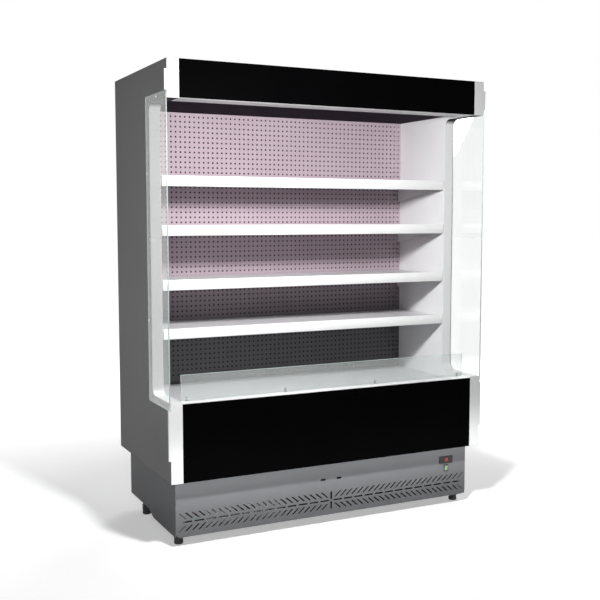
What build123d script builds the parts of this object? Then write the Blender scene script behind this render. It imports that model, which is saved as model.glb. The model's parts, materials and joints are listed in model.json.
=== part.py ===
from build123d import *
import os

os.makedirs("parts", exist_ok=True)

# Open multideck display fridge, in millimetres.
# Origin: on the floor, under the middle of the cabinet. +X is the right-hand side seen by
# someone standing in front, -Y is the front, +Z is up.

# ------------------------------------------------------------------ cabinet
WIDTH = 1560.0              # over the two side walls
DEPTH = 760.0               # front panels to rear face
HEIGHT = 2030.0             # floor to roof
SIDE_WALL = 52.0            # foamed side wall
REAR_WALL = 50.0            # foamed rear wall
ROOF_WALL = 50.0            # foamed roof
FLOOR_WALL = 50.0           # foamed floor of the well
WELL_FRONT_WALL = 40.0      # foamed front wall of the well
SHEET = 1.5                 # folded sheet steel
SEAT = 0.3                  # gap between two pieces that lie against each other
CANOPY_HEIGHT = 157.0       # front panel of the canopy
FRONT_PANEL_HEIGHT = 334.0  # front panel under the display
PANEL_DEPTH = 20.0          # folded edge of both front panels
ROUND_SIDES = 16            # flat sides of a hidden round body
SMALL_SIDES = 6             # flat sides of a small round that repeats

FRONT = -DEPTH / 2
BACK = DEPTH / 2
HALF = WIDTH / 2
INNER = HALF - SIDE_WALL
CLEAR_HALF = INNER - SEAT
REAR_WALL_Y = BACK - REAR_WALL

# ------------------------------------------------------------------ plinth
PLINTH_CLEAR = 42.0         # floor to the lower edge of the plinth
PLINTH_HEIGHT = 250.0
PLINTH_SETBACK = 55.0       # behind the front panels
PLINTH_REAR_SETBACK = 45.0
PLINTH_SIDE_SETBACK = 35.0
PLINTH_REAR_CLEAR = 67.0    # the side plates step up towards the back
PLINTH_STEP_FROM_PLATE = 315.0
PLINTH_STEP_RUN = 60.0
PLINTH_STEP_RADIUS = 25.0
PLINTH_CORNER = 22.0        # rounded lower corners of the front plate
PLINTH_HEM = 15.0

BODY_Z = PLINTH_CLEAR + PLINTH_HEIGHT
SILL_Z = BODY_Z + FRONT_PANEL_HEIGHT
CANOPY_Z = HEIGHT - CANOPY_HEIGHT
ROOF_Z = HEIGHT - ROOF_WALL
WELL_Z = BODY_Z + FLOOR_WALL
PLINTH_HALF = HALF - PLINTH_SIDE_SETBACK
PLINTH_FRONT = FRONT + PLINTH_SETBACK
PLINTH_BACK = BACK - PLINTH_REAR_SETBACK
PLINTH_TOP = BODY_Z - SEAT
STEP_Y = PLINTH_FRONT + PLINTH_STEP_FROM_PLATE

# ------------------------------------------------------------------ side windows and panes
WINDOW_DEPTH = 237.0        # cut into the side wall from the front
WINDOW_SILL_RISE = 6.0      # above the front panel
WINDOW_CORNER = 38.0
PANE = 6.0
PANE_LAP = 33.0             # lap of the pane over the side wall behind the window
PANE_TOP_LAP = 30.0         # and over and under it
PANE_CORNER = 6.0
PANE_SCREW_LOW = 0.27       # places of the rear screws, as shares of the pane's height
PANE_SCREW_HIGH = 0.75
PANE_SCREW_INSET = 118.0    # upper and lower screw, behind the front edge
SCREW_SHANK = 2.0
SCREW_HOLE = 2.3
SCREW_HEAD = 6.0
SCREW_HEAD_RISE = 3.0
SCREW_HEAD_TAPER = 30.0     # degrees

WINDOW_Z = SILL_Z + WINDOW_SILL_RISE
WINDOW_Y = FRONT + WINDOW_DEPTH
PANE_BOTTOM = WINDOW_Z - PANE_TOP_LAP
PANE_TOP = CANOPY_Z + PANE_TOP_LAP
PANE_BACK = WINDOW_Y + PANE_LAP
PANE_HEIGHT = PANE_TOP - PANE_BOTTOM
PANE_SCREWS = (
    (PANE_BACK - PANE_LAP / 2, PANE_BOTTOM + PANE_SCREW_LOW * PANE_HEIGHT),
    (PANE_BACK - PANE_LAP / 2, PANE_BOTTOM + PANE_SCREW_HIGH * PANE_HEIGHT),
    (FRONT + PANE_SCREW_INSET, PANE_TOP - PANE_TOP_LAP / 2),
    (FRONT + PANE_SCREW_INSET, PANE_BOTTOM + PANE_TOP_LAP / 2),
)

# ------------------------------------------------------------------ trims at the ends of the panels
EAR = 10.0                  # step of the trims past the side wall
EAR_DEPTH = 12.0
CANOPY_EAR_HEIGHT = 83.0
LOWER_EAR_HEIGHT = 212.0

CANOPY_EAR_Z = PANE_TOP + SEAT
LOWER_EAR_Z = PANE_BOTTOM - SEAT - LOWER_EAR_HEIGHT

# ------------------------------------------------------------------ canopy
LIP_DEPTH = 109.0           # white underside of the canopy
LIP_SET = 1.0               # behind the face of the canopy panel
LIP_RISE = 15.0
LINER_FROM_FRONT = 150.0    # back face of the sheet that carries the lamp
LINER_FLANGE = 20.0
LINER_LEDGE = 10.0          # ledge under the air outlet
BATTEN_DEPTH = 30.0
BATTEN_HEIGHT = 30.0
BATTEN_RISE = 27.0          # above the ceiling
LAMP_RADIUS = 13.0
LAMP_DROP = 2.0             # tube below its batten
LAMP_END_GAP = 143.0        # tube to the side walls
LAMP_SOCKET = 24.0
CEILING_RISE = 15.0         # ceiling above the underside of the canopy
OUTLET_DEPTH = 81.0         # honeycomb of the air outlet
OUTLET_HEIGHT = 20.0
OUTLET_COLUMNS = 16
OUTLET_ROWS = 2
OUTLET_WEB = 4.0

LIP_FRONT = FRONT + LIP_SET
LIP_BACK = LIP_FRONT + LIP_DEPTH
LINER_Y = FRONT + LINER_FROM_FRONT
LINER_FRONT = LINER_Y - SHEET
CEILING_Z = CANOPY_Z + CEILING_RISE
BATTEN_FRONT = LINER_FRONT - BATTEN_DEPTH
BATTEN_Z = CEILING_Z + BATTEN_RISE
LAMP_Y = LINER_FRONT - BATTEN_DEPTH / 2
LAMP_Z = BATTEN_Z - LAMP_RADIUS - LAMP_DROP
LAMP_HALF = INNER - LAMP_END_GAP
OUTLET_Y0 = LINER_Y + SEAT
OUTLET_Y1 = OUTLET_Y0 + OUTLET_DEPTH
OUTLET_Z = CEILING_Z + SHEET + SEAT

# ------------------------------------------------------------------ display: rear panel, uprights, deck
DUCT_DEPTH = 70.0           # air duct behind the perforated rear panel
UPRIGHT_WIDTH = 25.4
SLOT_PITCH = 23.7
SLOT_WIDTH = 3.2
SLOT_HEIGHT = 16.0
FIRST_SLOT_RISE = 32.2      # lower edge of the first slot above the deck
LAST_SLOT_MARGIN = 8.0      # upper end of the upright to the last slot, at the least
DECK_DROP = 29.5            # deck surface below the top of the front panel
DECK_FROM_FRONT = 188.0
DECK_GAP = 4.0              # deck to rear panel
DECK_SIDE_GAP = 4.0
DECK_FOLD = 20.0
DECK_FOLD_INSET = 26.0
LEDGE = 20.0                # ledge that carries the back of the deck
PANEL_RETURN = 20.0

PANEL_Y = REAR_WALL_Y - DUCT_DEPTH
PANEL_TOP = CEILING_Z - SEAT
BACK_PANEL_HALF = CLEAR_HALF - UPRIGHT_WIDTH - SEAT
UPRIGHT_X = CLEAR_HALF - UPRIGHT_WIDTH / 2
DECK_Z = SILL_Z - DECK_DROP
DECK_FRONT = FRONT + DECK_FROM_FRONT
DECK_BACK = PANEL_Y - DECK_GAP
DECK_HALF = INNER - DECK_SIDE_GAP
LEDGE_Z = DECK_Z - SHEET - SEAT
FIRST_SLOT_Z = DECK_Z + FIRST_SLOT_RISE
SLOT_COUNT = 1 + int((PANEL_TOP - LAST_SLOT_MARGIN - SLOT_HEIGHT - FIRST_SLOT_Z) / SLOT_PITCH)
SLOT_MIDDLE_Z = FIRST_SLOT_Z + ((SLOT_COUNT - 1) * SLOT_PITCH + SLOT_HEIGHT) / 2
CEILING_FRONT = OUTLET_Y1 - LINER_LEDGE
CEILING_BACK = PANEL_Y - SEAT

# ------------------------------------------------------------------ front rail, return air, riser
RAIL_DEPTH = 61.8
RAIL_SET = 0.5
RAIL_LEDGE = 14.0
RETURN_SLOT = 16.0
RETURN_PITCH = 48.0
RETURN_RIM = 16.0           # plain rim of the return-air grille, at the least
RISER_HEIGHT = 111.5
RISER_GLASS = 6.0
RISER_SETBACK = 53.0
RISER_END_GAP = 12.0
RISER_CORNER = 4.0
RISER_TAB = 12.0
RISER_TAB_RISE = 17.0
RISER_TAB_COUNT = 4
RISER_TAB_INSET = 26.0      # outer tabs, from the ends of the glass
RISER_SCREW_RISE = 8.0
RISER_SCREW_HEAD = 5.0

RAIL_TOP = SILL_Z + SHEET
RAIL_BACK = FRONT + RAIL_DEPTH
GRATE_FRONT = RAIL_BACK + SEAT
GRATE_BACK = DECK_FRONT - SEAT
RETURN_COUNT = int(2 * (CLEAR_HALF - RETURN_RIM) / RETURN_PITCH)
RISER_Y = FRONT + RISER_SETBACK
RISER_BACK = RISER_Y + RISER_GLASS
RISER_HALF = INNER - RISER_END_GAP
RISER_TAB_PITCH = 2 * (RISER_HALF - RISER_TAB_INSET) / (RISER_TAB_COUNT - 1)
RISER_SCREW_Z = RAIL_TOP + RISER_SCREW_RISE

# ------------------------------------------------------------------ shelves
SHELF_ROWS = (39, 30, 20, 11)   # slot that each shelf hangs in, top shelf first
SHELF_DEPTH = 385.0
SHELF_REAR_GAP = 12.0
SHELF_SIDE_GAP = 6.0
SHELF_FOLD = 25.0
SHELF_RISE = 12.0           # shelf surface above the seat of its hooks
BRACKET = 2.0
BRACKET_GAP = 0.5           # bracket to the face of the upright
BRACKET_FRONT = 20.0        # height at the front
BRACKET_REAR = 86.0
BRACKET_SHORT = 17.0        # bracket ends behind the front of the shelf
HOOK_NECK = 8.0
HOOK_GAP = 1.5              # behind the upright's face, room to tilt
HOOK_THICK = 1.8
HOOK_NOSE = 6.0
HOOK_SPACING = 3            # slots between the hook and the tab below it
STRIP_HEIGHT = 45.0         # ticket strip
STRIP_RISE = 10.0           # above the shelf surface
STRIP_BULGE = 4.0
STRIP_WALL = 2.0
STRIP_OVERHANG = 2.0
STRIP_LIP = 5.0

SHELF_HALF = INNER - SHELF_SIDE_GAP
SHELF_BACK = PANEL_Y - SHELF_REAR_GAP
SHELF_FRONT = SHELF_BACK - SHELF_DEPTH
HOOK_STEP = HOOK_SPACING * SLOT_PITCH
HOOK_BACK = PANEL_Y + SHEET + HOOK_GAP
BRACKET_BACK = PANEL_Y - BRACKET_GAP

# ------------------------------------------------------------------ controls
CONTROL_FROM_END = 114.5    # middle of the controller, from the end of the plinth
CONTROL_Z = 224.0
CONTROL_W = 77.0
CONTROL_H = 36.0
CONTROL_PROUD = 5.0
CONTROL_TAPER = 8.0         # degrees
CONTROL_BODY_W = 70.0
CONTROL_BODY_H = 28.0
CONTROL_BODY_DEPTH = 56.0
DISPLAY_W = 33.0
DISPLAY_H = 21.0
LENS = 1.2
KEY_W = 9.0
KEY_H = 13.0
KEY_OFFSET = 26.0           # from the middle of the controller
KEY_PROUD = 0.8
KEY_DEPTH = 2.2
KEY_POCKET = 3.6
KEY_CORNER = 1.0
SWITCH_FROM_END = 113.0     # middle of the switch, from the end of the plinth
SWITCH_Z = 183.0
SWITCH_W = 25.0
SWITCH_H = 31.0
SWITCH_PROUD = 2.5
SWITCH_TAPER = 10.0         # degrees
SWITCH_WELL_W = 18.0
SWITCH_WELL_H = 24.8
SWITCH_WALL = 1.5
SWITCH_DEPTH = 28.0
SWITCH_WELL_DEPTH = 16.0
ROCKER_W = 17.2
ROCKER_HALF = 11.5          # half its height
ROCKER_FACE = 3.4           # ends of the face, before the pivot
ROCKER_DISH = 1.0
ROCKER_SKIRT = 4.0          # sides, behind the pivot
ROCKER_SKIRT_IN = 1.0
ROCKER_HEEL = 9.0
ROCKER_PROUD = 1.6          # face before the bezel, at its higher end
ROCKER_TILT = 9.0           # degrees either way
ROCKER_PIN = 1.5
ROCKER_PIN_HOLE = 1.56
ROCKER_PIN_REACH = 1.2
CUT_CLEAR = 0.3             # round a body that passes through the front plate

CONTROL_X = PLINTH_HALF - CONTROL_FROM_END
BEZEL_FACE = PLINTH_FRONT - CONTROL_PROUD
SWITCH_X = PLINTH_HALF - SWITCH_FROM_END
SWITCH_FACE = PLINTH_FRONT - SWITCH_PROUD
PIVOT_Y = SWITCH_FACE + ROCKER_FACE - ROCKER_PROUD
PIN_END = SWITCH_WELL_W / 2 + ROCKER_PIN_REACH

# ------------------------------------------------------------------ chevron grille of the plinth
GRILLE_SLOT_W = 9.0         # width of a slanted slot, along X
GRILLE_RUN = 30.0
GRILLE_RISE = 26.0
GRILLE_PITCH = 29.6
GRILLE_START = 15.0         # first slot, from the middle of the plinth
GRILLE_RIM = 8.0            # plain end of the plate, at the least
GRILLE_LOW_Z = 67.0
GRILLE_HIGH_Z = 122.0
DASH_Z = 107.5
DASH_LENGTH = 43.0
DASH_HEIGHT = 6.5
DASH_PITCH = 55.0
DASH_START = 12.0
CENTRE_SLOT_W = 8.0
CENTRE_SLOT_H = 36.0
LATCH_X = 41.0              # pair of oblong slots over the grille
LATCH_Z = 207.0
LATCH_LENGTH = 25.0
LATCH_HEIGHT = 9.0

GRILLE_END = PLINTH_HALF - GRILLE_RIM
GRILLE_COUNT = 1 + int((GRILLE_END - GRILLE_START - GRILLE_SLOT_W - GRILLE_RUN) / GRILLE_PITCH)
DASH_COUNT = 1 + int((GRILLE_END - DASH_START - DASH_LENGTH) / DASH_PITCH)

# ------------------------------------------------------------------ base, feet, rear of the plinth
FRAME_ANGLE = 40.0
FRAME_STEEL = 3.0
FOOT_INSET = 31.0           # from the end of the plinth
FOOT_FRONT = 112.0          # behind the front face
FOOT_REAR = 193.0           # before the rear face
FOOT_RADIUS = 20.0
FOOT_TOE = 2.0              # chamfer at the floor
FOOT_CROWN = 4.0            # chamfer at the top
FOOT_HEIGHT = 52.0
FOOT_SIDES = 12
FOOT_STEM = 5.0
FOOT_STEM_CLEAR = 0.08
FOOT_STEM_TOP = 100.0
FOOT_NUT = 13.0             # nut welded under the floor of the base
VENT_COLUMNS = 4
VENT_ROWS = 5
VENT_PITCH_X = 90.0
VENT_PITCH_Z = 18.0
VENT_LENGTH = 70.0
VENT_HEIGHT = 7.0
VENT_Z = 180.0
GLAND_FROM_END = 135.0      # cord gland, from the end of the plinth
GLAND_Z = 120.0
GLAND_BODY = 10.0
GLAND_NUT = 14.0
GLAND_NUT_HEIGHT = 5.0
GLAND_DOME = 12.0
GLAND_CHAMFER = 4.0
GLAND_BORE = 5.0

FRAME_HALF = PLINTH_HALF - SHEET - SEAT
FRAME_FRONT = PLINTH_FRONT + SHEET + SEAT
FRAME_BACK = PLINTH_BACK - SHEET - SEAT
BASE_Z = PLINTH_REAR_CLEAR
BASE_TOP = BASE_Z + SHEET
FOOT_X = PLINTH_HALF - FOOT_INSET
FEET = [(x, y) for x in (-FOOT_X, FOOT_X) for y in (FRONT + FOOT_FRONT, BACK - FOOT_REAR)]
FOOT_NAMES = ("left_front", "left_rear", "right_front", "right_rear")
REAR_PLATE_HALF = PLINTH_HALF - PLINTH_HEM - SEAT
GLAND_X = -PLINTH_HALF + GLAND_FROM_END
GLAND_LENGTH = SHEET + 2 * GLAND_NUT_HEIGHT + GLAND_DOME

# ------------------------------------------------------------------ well: fans, coil, drain
FAN_PLATE_FROM_FRONT = 190.0
FAN_FLANGE_FRONT = 14.0
FAN_FLANGE_REAR = 20.0
FAN_X = 350.0
FAN_RADIUS = 92.0
FAN_TIP_GAP = 6.0
FAN_CHORD = 70.0
CONDENSER_FAN_CHORD = 56.0
BLADES = 5
BLADE = 1.6
BLADE_ROOT = 0.6            # width at the hub, as a share of the chord
BLADE_SINK = 3.0            # root of a blade inside its hub
BLADE_PITCH = 22.0          # degrees
HUB_RADIUS = 28.0
HUB_LENGTH = 24.0
HUB_CHAMFER = 4.0
HUB_BORE_DEPTH = 18.0
SHAFT = 4.0
SHAFT_CLEAR = 0.06
SHAFT_END_GAP = 1.6         # end of the shaft to the end of its bore
FAN_GAP = 2.0               # hub to motor
MOTOR_RADIUS = 34.0
MOTOR_LENGTH = 46.0
MOTOR_CHAMFER = 6.0
ARM_WIDTH = 14.0
ARM_STEEL = 2.0
ARM_BACK = 14.0             # arms, behind the face of the motor
ARM_OUTSIDE = 8.0           # past the fan's opening
ARM_COUNT = 3
COIL_SIDE_GAP = 168.0
COIL_FROM_FRONT = 285.0
COIL_DEPTH = 250.0
COIL_HEIGHT = 110.0
COIL_LIFT = 6.0
COIL_END = 3.0
COIL_FINS = 14
COIL_FIN = 6.0
COIL_RIM = 20.0
DRAIN_FROM_END = 143.0      # from the inner face of the right side wall
DRAIN_FROM_BACK = 160.0
DRAIN_RADIUS = 14.0
DRAIN_WALL = 2.0
DRAIN_LENGTH = 150.0
LINE_HOLE = 22.0            # hole for the refrigerant lines

FAN_PLATE_Y = FRONT + FAN_PLATE_FROM_FRONT
FAN_Z = (WELL_Z + LEDGE_Z) / 2
FAN_OPENING = FAN_RADIUS + FAN_TIP_GAP
SHAFT_REACH = FAN_GAP + HUB_BORE_DEPTH - SHAFT_END_GAP
MOTOR_FROM_ROTOR = HUB_LENGTH / 2 + FAN_GAP
FAN_MOTOR_Y = FAN_PLATE_Y + MOTOR_FROM_ROTOR
COIL_HALF = INNER - COIL_SIDE_GAP
COIL_Y = FRONT + COIL_FROM_FRONT
COIL_Z = WELL_Z + COIL_LIFT
COIL_END_X = -COIL_HALF - COIL_END
COIL_PITCH = 2 * COIL_HALF / COIL_FINS
DRAIN_X = INNER - DRAIN_FROM_END
DRAIN_Y = BACK - DRAIN_FROM_BACK

# ------------------------------------------------------------------ condensing unit
CONDENSER_FROM_END = 330.0  # middle of the condenser, from the end of the plinth
CONDENSER_W = 370.0
CONDENSER_H = 176.0
CONDENSER_LIFT = 3.5        # above the floor of the base
CONDENSER_FROM_PLATE = 29.0
CONDENSER_DEPTH = 56.0
CONDENSER_FINS = 14
CONDENSER_FIN = 4.0
CONDENSER_RIM = 8.0
CONDENSER_TIP_GAP = 5.0
CONDENSER_FAN_GAP = 4.0     # hub to shroud
CONDENSER_FAN_RADIUS = 74.0
COMPRESSOR_RADIUS = 84.0
COMPRESSOR_HEIGHT = 168.0
COMPRESSOR_LIFT = 18.0
SHELL_FOOT = 20.0           # chamfer at the foot of the shell
SHELL_SHOULDER = 30.0       # and the two chamfers that round its top
SHELL_CROWN = 18.0
COMPRESSOR_FROM_END = 395.0
COMPRESSOR_FROM_BACK = 310.0
SEAM_FLANGE = 3.0           # welded seam round the shell
SEAM_HEIGHT = 6.0
CRADLE_LENGTH = 176.0       # plate under the shell
CRADLE_WIDTH = 126.0
CRADLE = 3.0
GROMMET = 11.0
GROMMET_INSET = 14.0
STUB = 8.0                  # pipe stubs of the compressor
STUB_OUT = 10.0
STUB_SPACING = 60.0
STUB_RISE = 104.0
PIPE = 5.0
BEND = 16.0
DISCHARGE_OUT = 24.0        # discharge line, past the end of the condenser
LINE_OUT = 49.0             # suction line, past the end of the condenser
LINE_SPACING = 18.0         # suction line to liquid line
LINE_STAGGER = 14.0         # liquid line behind the suction line
LIQUID_RISE = 30.0          # above the lower edge of the condenser
CONDENSER_PIPE_DEPTH = 30.0
SUCTION_RISE = 40.0         # above the floor of the well
LIQUID_COIL_RISE = 75.0
LIQUID_COIL_DEPTH = 60.0
DRIER_RADIUS = 14.0
DRIER_LENGTH = 110.0
DRIER_DEPTH = 90.0
CATCH_LENGTH = 230.0        # tray for the condensed water
CATCH_DEPTH = 190.0
CATCH_BEFORE = 120.0        # drain to its front edge
CATCH_HEIGHT = 52.0
CATCH_WALL = 2.0
CATCH_CORNER = 12.0

CONDENSER_X = -PLINTH_HALF + CONDENSER_FROM_END
CONDENSER_Y = PLINTH_FRONT + CONDENSER_FROM_PLATE
CONDENSER_Z = BASE_TOP + CONDENSER_LIFT
CONDENSER_MID_Z = CONDENSER_Z + CONDENSER_H / 2
CONDENSER_END_X = CONDENSER_X - CONDENSER_W / 2
SHROUD_Y = CONDENSER_Y + CONDENSER_DEPTH
CONDENSER_FAN_Y = SHROUD_Y + CONDENSER_FAN_GAP + HUB_LENGTH / 2
CONDENSER_MOTOR_Y = CONDENSER_FAN_Y + MOTOR_FROM_ROTOR
COMPRESSOR_X = -PLINTH_HALF + COMPRESSOR_FROM_END
COMPRESSOR_Y = BACK - COMPRESSOR_FROM_BACK
COMPRESSOR_Z = BASE_TOP + COMPRESSOR_LIFT
STUB_X = COMPRESSOR_X - COMPRESSOR_RADIUS - STUB_OUT
STUB_Z = COMPRESSOR_Z + STUB_RISE
DISCHARGE_Y = COMPRESSOR_Y - STUB_SPACING / 2
SUCTION_Y = COMPRESSOR_Y + STUB_SPACING / 2
DISCHARGE_X = CONDENSER_END_X - DISCHARGE_OUT
SUCTION_X = CONDENSER_END_X - LINE_OUT
LIQUID_X = SUCTION_X + LINE_SPACING
LIQUID_Y = SUCTION_Y + LINE_STAGGER
LINE_HOLE_X = (SUCTION_X + LIQUID_X) / 2
LINE_HOLE_Y = (SUCTION_Y + LIQUID_Y) / 2
CONDENSER_PIPE_Y = CONDENSER_Y + CONDENSER_PIPE_DEPTH
LIQUID_Z = CONDENSER_Z + LIQUID_RISE


def facing(y):
    """Sketch plane across the cabinet at depth y; a negative extrusion goes towards the back."""
    return Plane.XZ.offset(-y)


def patch(a0, a1, b0, b1, mode=Mode.ADD):
    """Rectangle between two limits each way."""
    with Locations(((a0 + a1) / 2, (b0 + b1) / 2)):
        Rectangle(a1 - a0, b1 - b0, mode=mode)


def finish(piece, name):
    """Label a finished piece and write it."""
    piece.part.label = name
    export_step(piece.part, f"parts/{name}.step")


def mirrored(piece):
    """The same piece for the other side."""
    with BuildPart() as other:
        mirror(piece.part, about=Plane.YZ)
    return other


# ================================================================== foamed shell
with BuildPart() as side_wall_right:
    with BuildSketch(Plane.YZ.offset(INNER)):
        patch(FRONT + SHEET, BACK, BODY_Z, HEIGHT)
        with Locations((WINDOW_Y - WINDOW_DEPTH, (WINDOW_Z + CANOPY_Z) / 2)):
            RectangleRounded(2 * WINDOW_DEPTH, CANOPY_Z - WINDOW_Z, WINDOW_CORNER, mode=Mode.SUBTRACT)
    extrude(amount=SIDE_WALL)
finish(side_wall_right, "side_wall_right")
side_wall_left = mirrored(side_wall_right)
finish(side_wall_left, "side_wall_left")

with BuildPart() as rear_wall:
    with BuildSketch(Plane.YZ):
        patch(REAR_WALL_Y, BACK, BODY_Z, ROOF_Z)
    extrude(amount=INNER, both=True)
finish(rear_wall, "rear_wall")

with BuildPart() as roof_panel:
    with BuildSketch(Plane.YZ):
        patch(FRONT + PANEL_DEPTH, BACK, ROOF_Z, HEIGHT)
    extrude(amount=INNER, both=True)
finish(roof_panel, "roof_panel")

# The well holds the coil and the fans; its floor has the drain and the hole for the lines.
with BuildPart() as tub:
    with BuildSketch(Plane.YZ):
        patch(FRONT + PANEL_DEPTH, REAR_WALL_Y, BODY_Z, WELL_Z)
        patch(FRONT + PANEL_DEPTH, FRONT + PANEL_DEPTH + WELL_FRONT_WALL, BODY_Z, SILL_Z)
    extrude(amount=INNER, both=True)
    with BuildSketch(Plane.XY.offset(BODY_Z)):
        with Locations((DRAIN_X, DRAIN_Y)):
            RegularPolygon(DRAIN_RADIUS, ROUND_SIDES)
    extrude(amount=-DRAIN_LENGTH)
    with BuildSketch(Plane.XY.offset(WELL_Z)):
        with Locations((DRAIN_X, DRAIN_Y)):
            RegularPolygon(DRAIN_RADIUS - DRAIN_WALL, ROUND_SIDES)
    extrude(amount=-(FLOOR_WALL + DRAIN_LENGTH), mode=Mode.SUBTRACT)
    with BuildSketch(Plane.XY.offset(WELL_Z)):
        with Locations((LINE_HOLE_X, LINE_HOLE_Y)):
            RegularPolygon(LINE_HOLE, ROUND_SIDES)
    extrude(amount=-FLOOR_WALL, mode=Mode.SUBTRACT)
finish(tub, "tub")


# ================================================================== front panels and end trims
def front_panel(bottom, top):
    """Folded black panel: a shallow tray with its open side to the back."""
    with BuildPart() as panel:
        with BuildSketch(facing(FRONT)):
            patch(-CLEAR_HALF, CLEAR_HALF, bottom, top)
        extrude(amount=-PANEL_DEPTH)
        offset(amount=-SHEET, openings=panel.faces().sort_by(Axis.Y)[-1])
    return panel


canopy_front_panel = front_panel(CANOPY_Z + SHEET, HEIGHT)
finish(canopy_front_panel, "canopy_front_panel")
lower_front_panel = front_panel(BODY_Z, SILL_Z)
finish(lower_front_panel, "lower_front_panel")


def end_trim(bottom, top, ear_bottom, ear_height):
    """White plate over the front edge of the right side wall, with a folded ear beside the pane."""
    with BuildPart() as trim:
        with BuildSketch(facing(FRONT)):
            patch(INNER, HALF, bottom, top)
        extrude(amount=-SHEET)
        with BuildSketch(Plane.XY.offset(ear_bottom)):
            patch(HALF, HALF + EAR, FRONT, FRONT + EAR_DEPTH)
            patch(HALF - SHEET, HALF + EAR - SHEET, FRONT + SHEET, FRONT + EAR_DEPTH - SHEET,
                  mode=Mode.SUBTRACT)
        extrude(amount=ear_height)
    return trim


canopy_trim_right = end_trim(CANOPY_Z, HEIGHT, CANOPY_EAR_Z, CANOPY_EAR_HEIGHT)
finish(canopy_trim_right, "canopy_trim_right")
canopy_trim_left = mirrored(canopy_trim_right)
finish(canopy_trim_left, "canopy_trim_left")
lower_trim_right = end_trim(BODY_Z, WINDOW_Z, LOWER_EAR_Z, LOWER_EAR_HEIGHT)
finish(lower_trim_right, "lower_trim_right")
lower_trim_left = mirrored(lower_trim_right)
finish(lower_trim_left, "lower_trim_left")

# ================================================================== side panes, riser and fixings
with BuildPart() as side_pane_right:
    with BuildSketch(Plane.YZ.offset(HALF)) as pane_outline:
        patch(FRONT, PANE_BACK, PANE_BOTTOM, PANE_TOP)
        fillet(pane_outline.vertices(), PANE_CORNER)
        with Locations(*PANE_SCREWS):
            RegularPolygon(SCREW_HOLE, SMALL_SIDES, mode=Mode.SUBTRACT)
    extrude(amount=PANE)
finish(side_pane_right, "side_pane_right")
side_pane_left = mirrored(side_pane_right)
finish(side_pane_left, "side_pane_left")


def riser_screws(radius, mode=Mode.ADD):
    """A round at each screw of the riser glass."""
    with Locations((0, RISER_SCREW_Z)):
        with GridLocations(RISER_TAB_PITCH, 1, RISER_TAB_COUNT, 1):
            RegularPolygon(radius, SMALL_SIDES, mode=mode)


with BuildPart() as riser_glass:
    with BuildSketch(facing(RISER_Y)) as riser_outline:
        patch(-RISER_HALF, RISER_HALF, RAIL_TOP, RAIL_TOP + RISER_HEIGHT)
        fillet(riser_outline.vertices().group_by(Axis.Y)[-1], RISER_CORNER)
        riser_screws(SCREW_HOLE, mode=Mode.SUBTRACT)
    extrude(amount=-RISER_GLASS)
finish(riser_glass, "riser_glass")

# Screws of the side panes, and the screwed tabs that hold the riser.
with BuildPart() as glass_fixings:
    with BuildSketch(Plane.YZ.offset(HALF)):
        with Locations(*PANE_SCREWS):
            RegularPolygon(SCREW_SHANK, SMALL_SIDES)
    extrude(amount=PANE)
    with BuildSketch(Plane.YZ.offset(HALF + PANE)):
        with Locations(*PANE_SCREWS):
            RegularPolygon(SCREW_HEAD, SMALL_SIDES)
    extrude(amount=SCREW_HEAD_RISE, taper=SCREW_HEAD_TAPER)
    mirror(about=Plane.YZ)
    with BuildSketch(facing(RISER_BACK)):
        with Locations((0, RAIL_TOP + RISER_TAB_RISE / 2)):
            with GridLocations(RISER_TAB_PITCH, 1, RISER_TAB_COUNT, 1):
                Rectangle(RISER_TAB, RISER_TAB_RISE)
    extrude(amount=-SHEET)
    with BuildSketch(facing(RISER_BACK)):
        riser_screws(SCREW_SHANK)
    extrude(amount=RISER_GLASS)
    with BuildSketch(facing(RISER_Y)):
        riser_screws(RISER_SCREW_HEAD)
    extrude(amount=SHEET, taper=SCREW_HEAD_TAPER)
finish(glass_fixings, "glass_fixings")

# ================================================================== canopy inside
with BuildPart() as canopy_lip:
    with BuildSketch(Plane.YZ):
        patch(LIP_FRONT, LIP_BACK, CANOPY_Z, CANOPY_Z + SHEET)
        patch(LIP_BACK - SHEET, LIP_BACK, CANOPY_Z, CANOPY_Z + LIP_RISE)
    extrude(amount=CLEAR_HALF, both=True)
finish(canopy_lip, "canopy_lip")

# Sheet between the lamp and the air duct, with the lamp's batten folded on its front.
with BuildPart() as canopy_liner:
    with BuildSketch(Plane.YZ):
        patch(LINER_FRONT, LINER_Y, CEILING_Z, ROOF_Z)
        patch(LINER_Y - LINER_FLANGE, LINER_Y, ROOF_Z - SHEET, ROOF_Z)
        patch(LINER_FRONT, LINER_Y + LINER_LEDGE, CEILING_Z, CEILING_Z + SHEET)
        patch(BATTEN_FRONT, LINER_FRONT, BATTEN_Z, BATTEN_Z + BATTEN_HEIGHT)
        patch(BATTEN_FRONT + SHEET, LINER_FRONT, BATTEN_Z + SHEET, BATTEN_Z + BATTEN_HEIGHT - SHEET,
              mode=Mode.SUBTRACT)
    extrude(amount=CLEAR_HALF, both=True)
finish(canopy_liner, "canopy_liner")

with BuildPart() as lamp_tube:
    with BuildSketch(Plane.YZ):
        with Locations((LAMP_Y, LAMP_Z)):
            Circle(LAMP_RADIUS)
    extrude(amount=LAMP_HALF, both=True)
    for end in (-1, 1):
        with BuildSketch(Plane.YZ.offset(end * LAMP_HALF)):
            patch(LAMP_Y - LAMP_RADIUS, LAMP_Y + LAMP_RADIUS, LAMP_Z - LAMP_RADIUS, BATTEN_Z)
        extrude(amount=end * LAMP_SOCKET)
finish(lamp_tube, "lamp_tube")

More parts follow.
